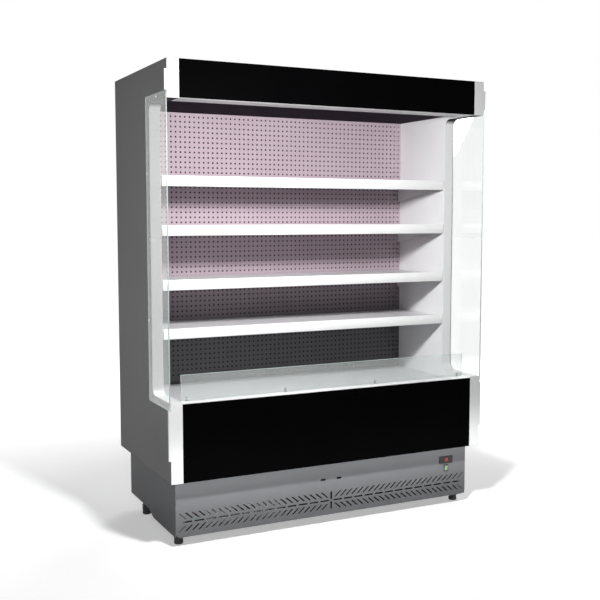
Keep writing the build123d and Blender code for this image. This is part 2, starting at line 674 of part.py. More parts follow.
OUTLET_CELL_X = (2 * CLEAR_HALF - OUTLET_WEB) / OUTLET_COLUMNS
OUTLET_CELL_Y = (OUTLET_DEPTH - OUTLET_WEB) / OUTLET_ROWS
with BuildPart() as air_honeycomb:
    with BuildSketch(Plane.XY.offset(OUTLET_Z)):
        patch(-CLEAR_HALF, CLEAR_HALF, OUTLET_Y0, OUTLET_Y1)
        with Locations((0, (OUTLET_Y0 + OUTLET_Y1) / 2)):
            with GridLocations(OUTLET_CELL_X, OUTLET_CELL_Y, OUTLET_COLUMNS, OUTLET_ROWS):
                Rectangle(OUTLET_CELL_X - OUTLET_WEB, OUTLET_CELL_Y - OUTLET_WEB, mode=Mode.SUBTRACT)
    extrude(amount=OUTLET_HEIGHT)
finish(air_honeycomb, "air_honeycomb")

with BuildPart() as ceiling_panel:
    with BuildSketch(Plane.YZ):
        patch(CEILING_FRONT, CEILING_BACK, CEILING_Z, CEILING_Z + SHEET)
        patch(OUTLET_Y1 + SEAT, OUTLET_Y1 + SEAT + SHEET, CEILING_Z, OUTLET_Z + OUTLET_HEIGHT)
        patch(CEILING_BACK - SHEET, CEILING_BACK, CEILING_Z, CEILING_Z + PANEL_RETURN)
    extrude(amount=CLEAR_HALF, both=True)
finish(ceiling_panel, "ceiling_panel")

# ================================================================== display: rear panel and uprights
with BuildPart() as back_panel:
    with BuildSketch(facing(PANEL_Y)):
        patch(-BACK_PANEL_HALF, BACK_PANEL_HALF, LEDGE_Z - SHEET, PANEL_TOP)
    extrude(amount=-PANEL_RETURN)
    offset(amount=-SHEET, openings=back_panel.faces().sort_by(Axis.Y)[-1])
    with BuildSketch(Plane.YZ):
        patch(PANEL_Y - LEDGE, PANEL_Y + SHEET, LEDGE_Z - SHEET, LEDGE_Z)
    extrude(amount=BACK_PANEL_HALF, both=True)
finish(back_panel, "back_panel")

with BuildPart() as slotted_uprights:
    with BuildSketch(Plane.XY.offset(WELL_Z)):
        patch(CLEAR_HALF - UPRIGHT_WIDTH, CLEAR_HALF, PANEL_Y, REAR_WALL_Y)
        patch(CLEAR_HALF - UPRIGHT_WIDTH + SHEET, CLEAR_HALF - SHEET, PANEL_Y + SHEET, REAR_WALL_Y,
              mode=Mode.SUBTRACT)
    extrude(amount=PANEL_TOP - WELL_Z)
    with BuildSketch(facing(PANEL_Y)):
        with Locations((UPRIGHT_X, SLOT_MIDDLE_Z)):
            with GridLocations(SLOT_WIDTH, SLOT_PITCH, 1, SLOT_COUNT):
                Rectangle(SLOT_WIDTH, SLOT_HEIGHT)
    extrude(amount=-SHEET, mode=Mode.SUBTRACT)
    mirror(about=Plane.YZ)
finish(slotted_uprights, "slotted_uprights")

# ================================================================== front rail and return-air grille
with BuildPart() as front_rail:
    with BuildSketch(Plane.YZ):
        patch(FRONT + RAIL_SET, RAIL_BACK, SILL_Z, RAIL_TOP)
        patch(RAIL_BACK - SHEET, RAIL_BACK, LEDGE_Z - SHEET, RAIL_TOP)
        patch(RAIL_BACK - SHEET, RAIL_BACK + RAIL_LEDGE, LEDGE_Z - SHEET, LEDGE_Z)
    extrude(amount=CLEAR_HALF, both=True)
finish(front_rail, "front_rail")

with BuildPart() as return_air_grille:
    with BuildSketch(Plane.XY.offset(LEDGE_Z)):
        patch(-CLEAR_HALF, CLEAR_HALF, GRATE_FRONT, GRATE_BACK)
        with Locations((0, (GRATE_FRONT + GRATE_BACK) / 2)):
            with GridLocations(RETURN_PITCH, 1, RETURN_COUNT, 1):
                Rectangle(RETURN_SLOT, GRATE_BACK - GRATE_FRONT - 2 * RETURN_RIM, mode=Mode.SUBTRACT)
    extrude(amount=SHEET)
finish(return_air_grille, "return_air_grille")

# The deck lifts out: a flat tray with two folded stiffeners under it.
with BuildPart() as deck_tray:
    with BuildSketch(Plane.YZ):
        patch(DECK_FRONT, DECK_BACK, DECK_Z - SHEET, DECK_Z)
        for y in (DECK_FRONT + DECK_FOLD_INSET, DECK_BACK - DECK_FOLD_INSET - SHEET):
            patch(y, y + SHEET, DECK_Z - DECK_FOLD, DECK_Z)
    extrude(amount=DECK_HALF, both=True)
finish(deck_tray, "deck_tray")


# ================================================================== shelves
def hooks(seat):
    """Upper hook with its nose behind the upright, and a straight tab in a slot further down."""
    root = BRACKET_BACK - BRACKET
    patch(root, HOOK_BACK + HOOK_THICK, seat, seat + HOOK_NECK)
    patch(HOOK_BACK, HOOK_BACK + HOOK_THICK, seat - HOOK_NOSE, seat + HOOK_NECK)
    patch(root, HOOK_BACK, seat - HOOK_STEP, seat - HOOK_STEP + HOOK_NECK)


def shelf(seat):
    """Folded shelf with the two brackets under it that hook into the uprights."""
    top = seat + SHELF_RISE
    under = top - SHEET
    tip = SHELF_FRONT + BRACKET_SHORT
    with BuildPart() as tray:
        with BuildSketch(Plane.XY.offset(top)):
            patch(-SHELF_HALF, SHELF_HALF, SHELF_FRONT, SHELF_BACK)
        extrude(amount=-SHELF_FOLD)
        offset(amount=-SHEET, openings=tray.faces().sort_by(Axis.Z)[0])
        for side in (-1, 1):
            with BuildSketch(Plane.YZ.offset(side * UPRIGHT_X)):
                with BuildLine():
                    Polyline(
                        (tip, under),
                        (BRACKET_BACK, under),
                        (BRACKET_BACK, under - BRACKET_REAR),
                        (BRACKET_BACK - BRACKET_FRONT, under - BRACKET_REAR),
                        (tip, under - BRACKET_FRONT),
                        close=True,
                    )
                make_face()
                hooks(seat + SEAT)
            extrude(amount=BRACKET / 2, both=True)
    return tray


def ticket_strip(seat):
    """Bowed profile on the front fold of a shelf, open at the back."""
    top = seat + SHELF_RISE + STRIP_RISE
    bottom = top - STRIP_HEIGHT
    middle = (top + bottom) / 2
    back = SHELF_FRONT
    face = back - STRIP_LIP
    inside = face + STRIP_WALL
    with BuildPart() as strip:
        with BuildSketch(Plane.YZ):
            with BuildLine():
                Line((back, top), (face, top))
                ThreePointArc((face, top), (face - STRIP_BULGE, middle), (face, bottom))
                Polyline((face, bottom), (back, bottom), (back, bottom + STRIP_WALL),
                         (inside, bottom + STRIP_WALL))
                ThreePointArc((inside, bottom + STRIP_WALL), (inside - STRIP_BULGE, middle),
                              (inside, top - STRIP_WALL))
                Polyline((inside, top - STRIP_WALL), (back, top - STRIP_WALL), (back, top))
            make_face()
            patch(back - STRIP_WALL, back, bottom, bottom + SHELF_FOLD)
        extrude(amount=SHELF_HALF + STRIP_OVERHANG, both=True)
    return strip


for number, row in enumerate(SHELF_ROWS, start=1):
    seat_z = FIRST_SLOT_Z + row * SLOT_PITCH
    shelf_n = shelf(seat_z)
    finish(shelf_n, f"shelf_{number}")
    strip_n = ticket_strip(seat_z)
    finish(strip_n, f"ticket_strip_{number}")

# ================================================================== plinth
with BuildPart() as plinth_side_right:
    with BuildSketch(Plane.YZ.offset(PLINTH_HALF - SHEET)) as side_outline:
        with BuildLine():
            Polyline(
                (PLINTH_FRONT + SHEET, PLINTH_TOP),
                (PLINTH_BACK, PLINTH_TOP),
                (PLINTH_BACK, PLINTH_REAR_CLEAR),
                (STEP_Y + PLINTH_STEP_RUN, PLINTH_REAR_CLEAR),
                (STEP_Y, PLINTH_CLEAR),
                (PLINTH_FRONT + SHEET, PLINTH_CLEAR),
                close=True,
            )
        make_face()
        bends = side_outline.vertices().filter_by_position(Axis.X, STEP_Y, STEP_Y + PLINTH_STEP_RUN)
        fillet(bends, PLINTH_STEP_RADIUS)
    extrude(amount=SHEET)
    with BuildSketch(Plane.XY.offset(PLINTH_REAR_CLEAR)):
        patch(PLINTH_HALF - PLINTH_HEM, PLINTH_HALF, PLINTH_BACK - SHEET, PLINTH_BACK)
    extrude(amount=PLINTH_TOP - PLINTH_REAR_CLEAR)
finish(plinth_side_right, "plinth_side_right")
plinth_side_left = mirrored(plinth_side_right)
finish(plinth_side_left, "plinth_side_left")

# Front plate: chevron rows of slanted slots over and under a row of dashes, mirrored about the
# middle, with a pair of upright slots on the middle line.
with BuildSketch(facing(PLINTH_FRONT)) as chevrons:
    for i in range(GRILLE_COUNT):
        near = GRILLE_START + i * GRILLE_PITCH
        for low, foot_shift, head_shift in ((GRILLE_HIGH_Z, 0, GRILLE_RUN), (GRILLE_LOW_Z, GRILLE_RUN, 0)):
            Polygon(
                (near + foot_shift, low),
                (near + foot_shift + GRILLE_SLOT_W, low),
                (near + head_shift + GRILLE_SLOT_W, low + GRILLE_RISE),
                (near + head_shift, low + GRILLE_RISE),
                align=None,
            )
    for i in range(DASH_COUNT):
        near = DASH_START + i * DASH_PITCH
        patch(near, near + DASH_LENGTH, DASH_Z - DASH_HEIGHT / 2, DASH_Z + DASH_HEIGHT / 2)
    mirror(about=Plane.YZ)
    for middle in (GRILLE_LOW_Z + CENTRE_SLOT_H / 2, GRILLE_HIGH_Z + GRILLE_RISE - CENTRE_SLOT_H / 2):
        with Locations((0, middle)):
            Rectangle(CENTRE_SLOT_W, CENTRE_SLOT_H)
    with Locations((-LATCH_X, LATCH_Z), (LATCH_X, LATCH_Z)):
        SlotOverall(LATCH_LENGTH, LATCH_HEIGHT)

with BuildPart() as plinth_grille:
    with BuildSketch(facing(PLINTH_FRONT)) as plate:
        patch(-PLINTH_HALF, PLINTH_HALF, PLINTH_CLEAR, PLINTH_TOP)
        fillet(plate.vertices().group_by(Axis.Y)[0], PLINTH_CORNER)
        add(chevrons.sketch_local, mode=Mode.SUBTRACT)
        with Locations((CONTROL_X, CONTROL_Z)):
            Rectangle(CONTROL_BODY_W + 2 * CUT_CLEAR, CONTROL_BODY_H + 2 * CUT_CLEAR, mode=Mode.SUBTRACT)
        with Locations((SWITCH_X, SWITCH_Z)):
            Rectangle(SWITCH_WELL_W + 2 * (SWITCH_WALL + CUT_CLEAR),
                      SWITCH_WELL_H + 2 * (SWITCH_WALL + CUT_CLEAR), mode=Mode.SUBTRACT)
    extrude(amount=-SHEET)
    with BuildSketch(Plane.YZ):
        patch(PLINTH_FRONT, PLINTH_FRONT + PLINTH_HEM, PLINTH_CLEAR, PLINTH_CLEAR + SHEET)
    extrude(amount=PLINTH_HALF - PLINTH_CORNER, both=True)
finish(plinth_grille, "plinth_grille")

with BuildPart() as rear_grille:
    with BuildSketch(facing(PLINTH_BACK - SHEET)):
        patch(-REAR_PLATE_HALF, REAR_PLATE_HALF, PLINTH_REAR_CLEAR, PLINTH_TOP)
        with Locations((COMPRESSOR_X, VENT_Z)):
            with GridLocations(VENT_PITCH_X, VENT_PITCH_Z, VENT_COLUMNS, VENT_ROWS):
                Rectangle(VENT_LENGTH, VENT_HEIGHT, mode=Mode.SUBTRACT)
        with Locations((GLAND_X, GLAND_Z)):
            RegularPolygon(GLAND_BODY + CUT_CLEAR, ROUND_SIDES, mode=Mode.SUBTRACT)
    extrude(amount=-SHEET)
finish(rear_grille, "rear_grille")

rear_face = Plane(origin=(GLAND_X, PLINTH_BACK, GLAND_Z), x_dir=(1, 0, 0), z_dir=(0, 1, 0))
with BuildPart() as cord_gland:
    with BuildSketch(rear_face):
        RegularPolygon(GLAND_NUT, 6)
    extrude(amount=GLAND_NUT_HEIGHT)
    with BuildSketch(rear_face):
        RegularPolygon(GLAND_BODY, ROUND_SIDES)
    extrude(amount=GLAND_NUT_HEIGHT + GLAND_DOME)
    chamfer(cord_gland.faces().sort_by(Axis.Y)[-1].edges(), GLAND_CHAMFER)
    with BuildSketch(rear_face):
        RegularPolygon(GLAND_BODY, ROUND_SIDES)
    extrude(amount=-(SHEET + GLAND_NUT_HEIGHT))
    with BuildSketch(rear_face.offset(GLAND_NUT_HEIGHT + GLAND_DOME)):
        RegularPolygon(GLAND_BORE, ROUND_SIDES)
    extrude(amount=-GLAND_LENGTH, mode=Mode.SUBTRACT)
finish(cord_gland, "cord_gland")

# Welded base: corner angles with a ring on top, on a floor sheet with a nut for each foot.
with BuildPart() as base_frame:
    with BuildSketch(Plane.XY.offset(BASE_TOP)) as angles:
        with BuildSketch(mode=Mode.PRIVATE) as angle:
            patch(0, FRAME_ANGLE, 0, FRAME_STEEL)
            patch(0, FRAME_STEEL, 0, FRAME_ANGLE)
        for x, y, turn in (
            (-FRAME_HALF, FRAME_FRONT, 0),
            (FRAME_HALF, FRAME_FRONT, 90),
            (FRAME_HALF, FRAME_BACK, 180),
            (-FRAME_HALF, FRAME_BACK, 270),
        ):
            with Locations(Location((x, y, 0), (0, 0, turn))):
                add(angle.sketch)
    extrude(amount=BODY_Z - BASE_TOP)
    with BuildSketch(Plane.XY.offset(BODY_Z)):
        patch(-FRAME_HALF, FRAME_HALF, FRAME_FRONT, FRAME_BACK)
        patch(-FRAME_HALF + FRAME_ANGLE, FRAME_HALF - FRAME_ANGLE,
              FRAME_FRONT + FRAME_ANGLE, FRAME_BACK - FRAME_ANGLE, mode=Mode.SUBTRACT)
    extrude(amount=-FRAME_STEEL)
    with BuildSketch(Plane.XY.offset(BASE_Z)):
        patch(-FRAME_HALF, FRAME_HALF, FRAME_FRONT, FRAME_BACK)
    extrude(amount=SHEET)
    with BuildSketch(Plane.XY.offset(BASE_Z)):
        with Locations(*FEET):
            RegularPolygon(FOOT_NUT, 6)
    extrude(amount=-(BASE_Z - FOOT_HEIGHT - SEAT))
    with BuildSketch(Plane.XY.offset(BASE_TOP)):
        with Locations(*FEET):
            RegularPolygon(FOOT_STEM + FOOT_STEM_CLEAR, SMALL_SIDES)
    extrude(amount=-(BASE_TOP - FOOT_HEIGHT), mode=Mode.SUBTRACT)
finish(base_frame, "base_frame")


def levelling_foot(x, y):
    """Black foot with grip sides and a stem that screws into the base."""
    with BuildPart() as foot:
        with BuildSketch():
            with Locations((x, y)):
                RegularPolygon(FOOT_RADIUS, FOOT_SIDES)
        extrude(amount=FOOT_HEIGHT)
        chamfer(foot.faces().sort_by(Axis.Z)[0].edges(), FOOT_TOE)
        chamfer(foot.faces().sort_by(Axis.Z)[-1].edges(), FOOT_CROWN)
        with BuildSketch(Plane.XY.offset(FOOT_HEIGHT)):
            with Locations((x, y)):
                RegularPolygon(FOOT_STEM, SMALL_SIDES)
        extrude(amount=FOOT_STEM_TOP - FOOT_HEIGHT)
    return foot


for foot_name, (foot_x, foot_y) in zip(FOOT_NAMES, FEET):
    foot_n = levelling_foot(foot_x, foot_y)
    finish(foot_n, f"foot_{foot_name}")

# ================================================================== controls on the plinth
with BuildPart() as controller_case:
    with BuildSketch(facing(PLINTH_FRONT)):
        with Locations((CONTROL_X, CONTROL_Z)):
            Rectangle(CONTROL_W, CONTROL_H)
    extrude(amount=CONTROL_PROUD, taper=CONTROL_TAPER)
    with BuildSketch(facing(PLINTH_FRONT)):
        with Locations((CONTROL_X, CONTROL_Z)):
            Rectangle(CONTROL_BODY_W, CONTROL_BODY_H)
    extrude(amount=-CONTROL_BODY_DEPTH)
    with BuildSketch(facing(BEZEL_FACE)):
        with Locations((CONTROL_X, CONTROL_Z)):
            Rectangle(DISPLAY_W, DISPLAY_H)
    extrude(amount=-LENS, mode=Mode.SUBTRACT)
    with BuildSketch(facing(BEZEL_FACE)):
        with Locations((CONTROL_X - KEY_OFFSET, CONTROL_Z), (CONTROL_X + KEY_OFFSET, CONTROL_Z)):
            Rectangle(KEY_W + 2 * SEAT, KEY_H + 2 * SEAT)
    extrude(amount=-KEY_POCKET, mode=Mode.SUBTRACT)
finish(controller_case, "controller_case")

with BuildPart() as controller_window:
    with BuildSketch(facing(BEZEL_FACE)):
        with Locations((CONTROL_X, CONTROL_Z)):
            Rectangle(DISPLAY_W - 2 * SEAT, DISPLAY_H - 2 * SEAT)
    extrude(amount=-LENS)
finish(controller_window, "controller_window")


def control_key(x):
    """Push key in its pocket of the controller."""
    with BuildPart() as key:
        with BuildSketch(facing(BEZEL_FACE - KEY_PROUD)) as cap:
            with Locations((x, CONTROL_Z)):
                Rectangle(KEY_W, KEY_H)
            chamfer(cap.vertices(), KEY_CORNER)
        extrude(amount=-(KEY_PROUD + KEY_DEPTH))
    return key


key_left = control_key(CONTROL_X - KEY_OFFSET)
finish(key_left, "key_left")
key_right = control_key(CONTROL_X + KEY_OFFSET)
finish(key_right, "key_right")

# Rocker switch: a dished rocker on two pins in the well of its bezel.
with BuildPart() as switch_bezel:
    with BuildSketch(facing(PLINTH_FRONT)):
        with Locations((SWITCH_X, SWITCH_Z)):
            Rectangle(SWITCH_W, SWITCH_H)
    extrude(amount=SWITCH_PROUD, taper=SWITCH_TAPER)
    with BuildSketch(facing(PLINTH_FRONT)):
        with Locations((SWITCH_X, SWITCH_Z)):
            Rectangle(SWITCH_WELL_W + 2 * SWITCH_WALL, SWITCH_WELL_H + 2 * SWITCH_WALL)
    extrude(amount=-SWITCH_DEPTH)
    with BuildSketch(facing(SWITCH_FACE)):
        with Locations((SWITCH_X, SWITCH_Z)):
            Rectangle(SWITCH_WELL_W, SWITCH_WELL_H)
    extrude(amount=-SWITCH_WELL_DEPTH, mode=Mode.SUBTRACT)
    with BuildSketch(Plane.YZ.offset(SWITCH_X)):
        with Locations((PIVOT_Y, SWITCH_Z)):
            RegularPolygon(ROCKER_PIN_HOLE, ROUND_SIDES)
    extrude(amount=PIN_END, both=True, mode=Mode.SUBTRACT)
finish(switch_bezel, "switch_bezel")

with BuildPart() as rocker_shape:
    with BuildSketch(Plane.YZ):
        with BuildLine():
            Polyline(
                (-ROCKER_FACE, -ROCKER_HALF),
                (-ROCKER_FACE + ROCKER_DISH, 0),
                (-ROCKER_FACE, ROCKER_HALF),
                (ROCKER_SKIRT, ROCKER_HALF - ROCKER_SKIRT_IN),
                (ROCKER_HEEL, ROCKER_HALF / 2),
                (ROCKER_HEEL, -ROCKER_HALF / 2),
                (ROCKER_SKIRT, ROCKER_SKIRT_IN - ROCKER_HALF),
                close=True,
            )
        make_face()
    extrude(amount=ROCKER_W / 2, both=True)
    with BuildSketch(Plane.YZ):
        RegularPolygon(ROCKER_PIN, ROUND_SIDES)
    extrude(amount=PIN_END - SEAT, both=True)

with BuildPart() as switch_rocker:
    with Locations((SWITCH_X, PIVOT_Y, SWITCH_Z)):
        add(rocker_shape.part, rotation=(ROCKER_TILT, 0, 0))
finish(switch_rocker, "switch_rocker")


# ================================================================== fans
def fan_rotor(radius, chord):
    """Axial rotor about Z: pitched blades on a hub that is bored for the motor's shaft."""
    root = HUB_RADIUS - BLADE_SINK
    root_half = BLADE_ROOT * chord / 2
    tip_half = chord / 2
    tip = (radius ** 2 - tip_half ** 2) ** 0.5
    with BuildPart() as vane:
        with BuildSketch(Plane.XY.rotated((BLADE_PITCH, 0, 0))):
            with BuildLine():
                Polyline((tip, -tip_half), (root, -root_half), (root, root_half), (tip, tip_half),
                         (radius, 0), close=True)
            make_face()
        extrude(amount=BLADE / 2, both=True)
    with BuildPart() as rotor:
        with BuildSketch(Plane.XY.offset(-HUB_LENGTH / 2)):
            RegularPolygon(HUB_RADIUS, ROUND_SIDES)
        extrude(amount=HUB_LENGTH)
        chamfer(rotor.faces().sort_by(Axis.Z)[-1].edges(), HUB_CHAMFER)
        with PolarLocations(0, BLADES):
            add(vane.part)
        with Locations((0, 0, -HUB_LENGTH / 2)):
            Cylinder(SHAFT + SHAFT_CLEAR, HUB_BORE_DEPTH, align=(Align.CENTER, Align.CENTER, Align.MIN),
                     mode=Mode.SUBTRACT)
    return rotor.part


def fan_motor(opening, to_plate):
    """Motor about Z with its shaft up, on flat arms that reach the plate round the opening."""
    reach = opening + ARM_OUTSIDE
    with BuildPart() as motor:
        with BuildSketch():
            RegularPolygon(MOTOR_RADIUS, ROUND_SIDES)
        extrude(amount=-MOTOR_LENGTH)
        chamfer(motor.faces().sort_by(Axis.Z)[0].edges(), MOTOR_CHAMFER)
        Cylinder(SHAFT, SHAFT_REACH, align=(Align.CENTER, Align.CENTER, Align.MIN))
        with BuildSketch(Plane.XZ):
            patch(0, reach, -ARM_BACK, ARM_STEEL - ARM_BACK)
            patch(reach - ARM_STEEL, reach, -ARM_BACK, to_plate)
        arm = extrude(amount=ARM_WIDTH / 2, both=True)
        for number in range(1, ARM_COUNT):
            add(arm.rotate(Axis.Z, number * 360 / ARM_COUNT))
    return motor.part


# Evaporator fans: rotors in round openings of the fan plate, motors carried behind it.
with BuildPart() as evaporator_fan_plate:
    with BuildSketch(facing(FAN_PLATE_Y)):
        patch(-CLEAR_HALF, CLEAR_HALF, WELL_Z, LEDGE_Z)
        with Locations((-FAN_X, FAN_Z), (FAN_X, FAN_Z)):
            RegularPolygon(FAN_OPENING, ROUND_SIDES, mode=Mode.SUBTRACT)
    extrude(amount=-SHEET)
    with BuildSketch(Plane.YZ):
        patch(FAN_PLATE_Y - FAN_FLANGE_FRONT, FAN_PLATE_Y + FAN_FLANGE_REAR, LEDGE_Z - SHEET, LEDGE_Z)
    extrude(amount=CLEAR_HALF, both=True)
finish(evaporator_fan_plate, "evaporator_fan_plate")

evaporator_rotor = fan_rotor(FAN_RADIUS, FAN_CHORD)
for side_name, fan_x in (("left", -FAN_X), ("right", FAN_X)):
    with BuildPart() as evaporator_fan:
        with Locations((fan_x, FAN_PLATE_Y, FAN_Z)):
            add(evaporator_rotor, rotation=(90, 0, 0))
    finish(evaporator_fan, f"evaporator_fan_{side_name}")

evaporator_motor = fan_motor(FAN_OPENING, MOTOR_FROM_ROTOR - SHEET)
with BuildPart() as evaporator_fan_motors:
    with Locations((-FAN_X, FAN_MOTOR_Y, FAN_Z), (FAN_X, FAN_MOTOR_Y, FAN_Z)):
        add(evaporator_motor, rotation=(90, 0, 0))
finish(evaporator_fan_motors, "evaporator_fan_motors")

# ================================================================== evaporator
with BuildPart() as evaporator:
    with BuildSketch(Plane.XY.offset(COIL_Z)):
        patch(-COIL_HALF, COIL_HALF, COIL_Y, COIL_Y + COIL_DEPTH)
        with Locations((0, COIL_Y + COIL_DEPTH / 2)):
            with GridLocations(COIL_PITCH, 1, COIL_FINS, 1):
                Rectangle(COIL_PITCH - COIL_FIN, COIL_DEPTH - 2 * COIL_RIM, mode=Mode.SUBTRACT)
    extrude(amount=COIL_HEIGHT)
    for end in (-1, 1):
        with BuildSketch(Plane.YZ.offset(end * COIL_HALF)):
            patch(COIL_Y - COIL_END, COIL_Y + COIL_DEPTH + COIL_END, WELL_Z, COIL_Z + COIL_HEIGHT)
        extrude(amount=end * COIL_END)
finish(evaporator, "evaporator")

# ================================================================== condensing unit
CONDENSER_PITCH = CONDENSER_W / CONDENSER_FINS
with BuildPart() as condenser:
    with BuildSketch(facing(CONDENSER_Y)):
        with Locations((CONDENSER_X, CONDENSER_MID_Z)):
            Rectangle(CONDENSER_W, CONDENSER_H)
            with GridLocations(CONDENSER_PITCH, 1, CONDENSER_FINS, 1):
                Rectangle(CONDENSER_PITCH - CONDENSER_FIN, CONDENSER_H - 2 * CONDENSER_RIM,
                          mode=Mode.SUBTRACT)
        with Locations((CONDENSER_X, (BASE_TOP + CONDENSER_Z) / 2)):
            with GridLocations(CONDENSER_W - FRAME_ANGLE, 1, 2, 1):
                Rectangle(FRAME_ANGLE, CONDENSER_LIFT)
    extrude(amount=-CONDENSER_DEPTH)
    with BuildSketch(facing(SHROUD_Y)):
        with Locations((CONDENSER_X, CONDENSER_MID_Z)):
            Rectangle(CONDENSER_W, CONDENSER_H)
            RegularPolygon(CONDENSER_FAN_RADIUS + CONDENSER_TIP_GAP, ROUND_SIDES, mode=Mode.SUBTRACT)
    extrude(amount=-SHEET)
finish(condenser, "condenser")

condenser_rotor = fan_rotor(CONDENSER_FAN_RADIUS, CONDENSER_FAN_CHORD)
with BuildPart() as condenser_fan:
    with Locations((CONDENSER_X, CONDENSER_FAN_Y, CONDENSER_MID_Z)):
        add(condenser_rotor, rotation=(90, 0, 0))
finish(condenser_fan, "condenser_fan")

condenser_motor = fan_motor(CONDENSER_FAN_RADIUS, CONDENSER_MOTOR_Y - SHROUD_Y - SHEET)
with BuildPart() as condenser_fan_motor:
    with Locations((CONDENSER_X, CONDENSER_MOTOR_Y, CONDENSER_MID_Z)):
        add(condenser_motor, rotation=(90, 0, 0))
finish(condenser_fan_motor, "condenser_fan_motor")

with BuildPart() as compressor:
    with BuildSketch(Plane.XY.offset(COMPRESSOR_Z)):
        with Locations((COMPRESSOR_X, COMPRESSOR_Y)):
            RegularPolygon(COMPRESSOR_RADIUS, ROUND_SIDES)
    extrude(amount=COMPRESSOR_HEIGHT)
    chamfer(compressor.faces().sort_by(Axis.Z)[0].edges(), SHELL_FOOT)
    chamfer(compressor.faces().sort_by(Axis.Z)[-1].edges(), SHELL_SHOULDER)
    chamfer(compressor.faces().sort_by(Axis.Z)[-1].edges(), SHELL_CROWN)
    with BuildSketch(Plane.XY.offset(COMPRESSOR_Z + (COMPRESSOR_HEIGHT - SEAM_HEIGHT) / 2)):
        with Locations((COMPRESSOR_X, COMPRESSOR_Y)):
            RegularPolygon(COMPRESSOR_RADIUS + SEAM_FLANGE, ROUND_SIDES)
    extrude(amount=SEAM_HEIGHT)
    with BuildSketch(Plane.XY.offset(COMPRESSOR_Z)):
        with Locations((COMPRESSOR_X, COMPRESSOR_Y)):
            Rectangle(CRADLE_LENGTH, CRADLE_WIDTH)
    extrude(amount=CRADLE)
    with BuildSketch(Plane.XY.offset(BASE_TOP)):
        with Locations((COMPRESSOR_X, COMPRESSOR_Y)):
            with GridLocations(CRADLE_LENGTH - 2 * GROMMET_INSET, CRADLE_WIDTH - 2 * GROMMET_INSET, 2, 2):
                RegularPolygon(GROMMET, SMALL_SIDES)
    extrude(amount=COMPRESSOR_LIFT)
    with BuildSketch(Plane.YZ.offset(COMPRESSOR_X)):
        with Locations((DISCHARGE_Y, STUB_Z), (SUCTION_Y, STUB_Z)):
            RegularPolygon(STUB, SMALL_SIDES)
    extrude(amount=STUB_X - COMPRESSOR_X)
finish(compressor, "compressor")

# Copper lines: discharge to the condenser; suction and liquid line side by side up into the well.
discharge = [
    (STUB_X, DISCHARGE_Y, STUB_Z),
    (DISCHARGE_X, DISCHARGE_Y, STUB_Z),
    (DISCHARGE_X, CONDENSER_PIPE_Y, STUB_Z),
    (CONDENSER_END_X, CONDENSER_PIPE_Y, STUB_Z),
]
suction = [
    (STUB_X, SUCTION_Y, STUB_Z),
    (SUCTION_X, SUCTION_Y, STUB_Z),
    (SUCTION_X, SUCTION_Y, WELL_Z + SUCTION_RISE),
    (COIL_END_X, SUCTION_Y, WELL_Z + SUCTION_RISE),
]
liquid = [
    (CONDENSER_END_X, CONDENSER_PIPE_Y, LIQUID_Z),
    (LIQUID_X, CONDENSER_PIPE_Y, LIQUID_Z),
    (LIQUID_X, LIQUID_Y, LIQUID_Z),
    (LIQUID_X, LIQUID_Y, WELL_Z + LIQUID_COIL_RISE),
    (LIQUID_X, COIL_Y + LIQUID_COIL_DEPTH, WELL_Z + LIQUID_COIL_RISE),
    (COIL_END_X, COIL_Y + LIQUID_COIL_DEPTH, WELL_Z + LIQUID_COIL_RISE),
]


def bent(route):
    """The route with each corner cut at the length of a bend."""
    points = [Vector(*route[0])]
    for before, corner, after in zip(route, route[1:], route[2:]):
        at = Vector(*corner)
        points.append(at + (Vector(*before) - at).normalized() * BEND)
        points.append(at + (Vector(*after) - at).normalized() * BEND)
    points.append(Vector(*route[-1]))
    return points


with BuildPart() as refrigerant_pipes:
    for route in (discharge, suction, liquid):
        with BuildLine():
            run = Polyline(*bent(route))
        with BuildSketch(Plane(run @ 0, z_dir=run % 0)):
            RegularPolygon(PIPE, SMALL_SIDES)
        sweep(path=run, transition=Transition.RIGHT)
    with BuildSketch(facing(CONDENSER_Y + DRIER_DEPTH)):
        with Locations((LIQUID_X, LIQUID_Z)):
            RegularPolygon(DRIER_RADIUS, ROUND_SIDES)
    extrude(amount=-DRIER_LENGTH)
finish(refrigerant_pipes, "refrigerant_pipes")

with BuildPart() as evaporation_tray:
    with BuildSketch(Plane.XY.offset(BASE_TOP)) as tray_outline:
        patch(DRAIN_X - CATCH_LENGTH / 2, DRAIN_X + CATCH_LENGTH / 2,
              DRAIN_Y - CATCH_BEFORE, DRAIN_Y - CATCH_BEFORE + CATCH_DEPTH)
        chamfer(tray_outline.vertices(), CATCH_CORNER)
    extrude(amount=CATCH_HEIGHT)
    offset(amount=-CATCH_WALL, openings=evaporation_tray.faces().sort_by(Axis.Z)[-1])
finish(evaporation_tray, "evaporation_tray")
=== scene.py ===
import json
import math
from collections import namedtuple

import bmesh
import bpy
from bpy.props import FloatProperty, FloatVectorProperty, PointerProperty
from bpy.types import Operator, Panel, PropertyGroup
from mathutils import Matrix, Vector


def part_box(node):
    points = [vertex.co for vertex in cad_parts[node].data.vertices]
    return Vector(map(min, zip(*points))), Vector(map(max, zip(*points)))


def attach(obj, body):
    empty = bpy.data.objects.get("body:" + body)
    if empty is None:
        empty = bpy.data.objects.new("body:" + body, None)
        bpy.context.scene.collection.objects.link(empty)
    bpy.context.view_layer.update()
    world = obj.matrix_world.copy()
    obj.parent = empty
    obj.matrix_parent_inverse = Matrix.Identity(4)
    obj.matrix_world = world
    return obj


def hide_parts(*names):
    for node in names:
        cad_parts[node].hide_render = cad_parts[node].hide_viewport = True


bl_info = {
    "name": "Open Display Fridge Looks",
    "version": (1, 0, 0),
    "blender": (4, 5, 0),
    "location": "View3D > Sidebar > Fridge",
    "description": "Dresses the packed model of an open multideck display fridge and sets its studio",
    "category": "Object",
}

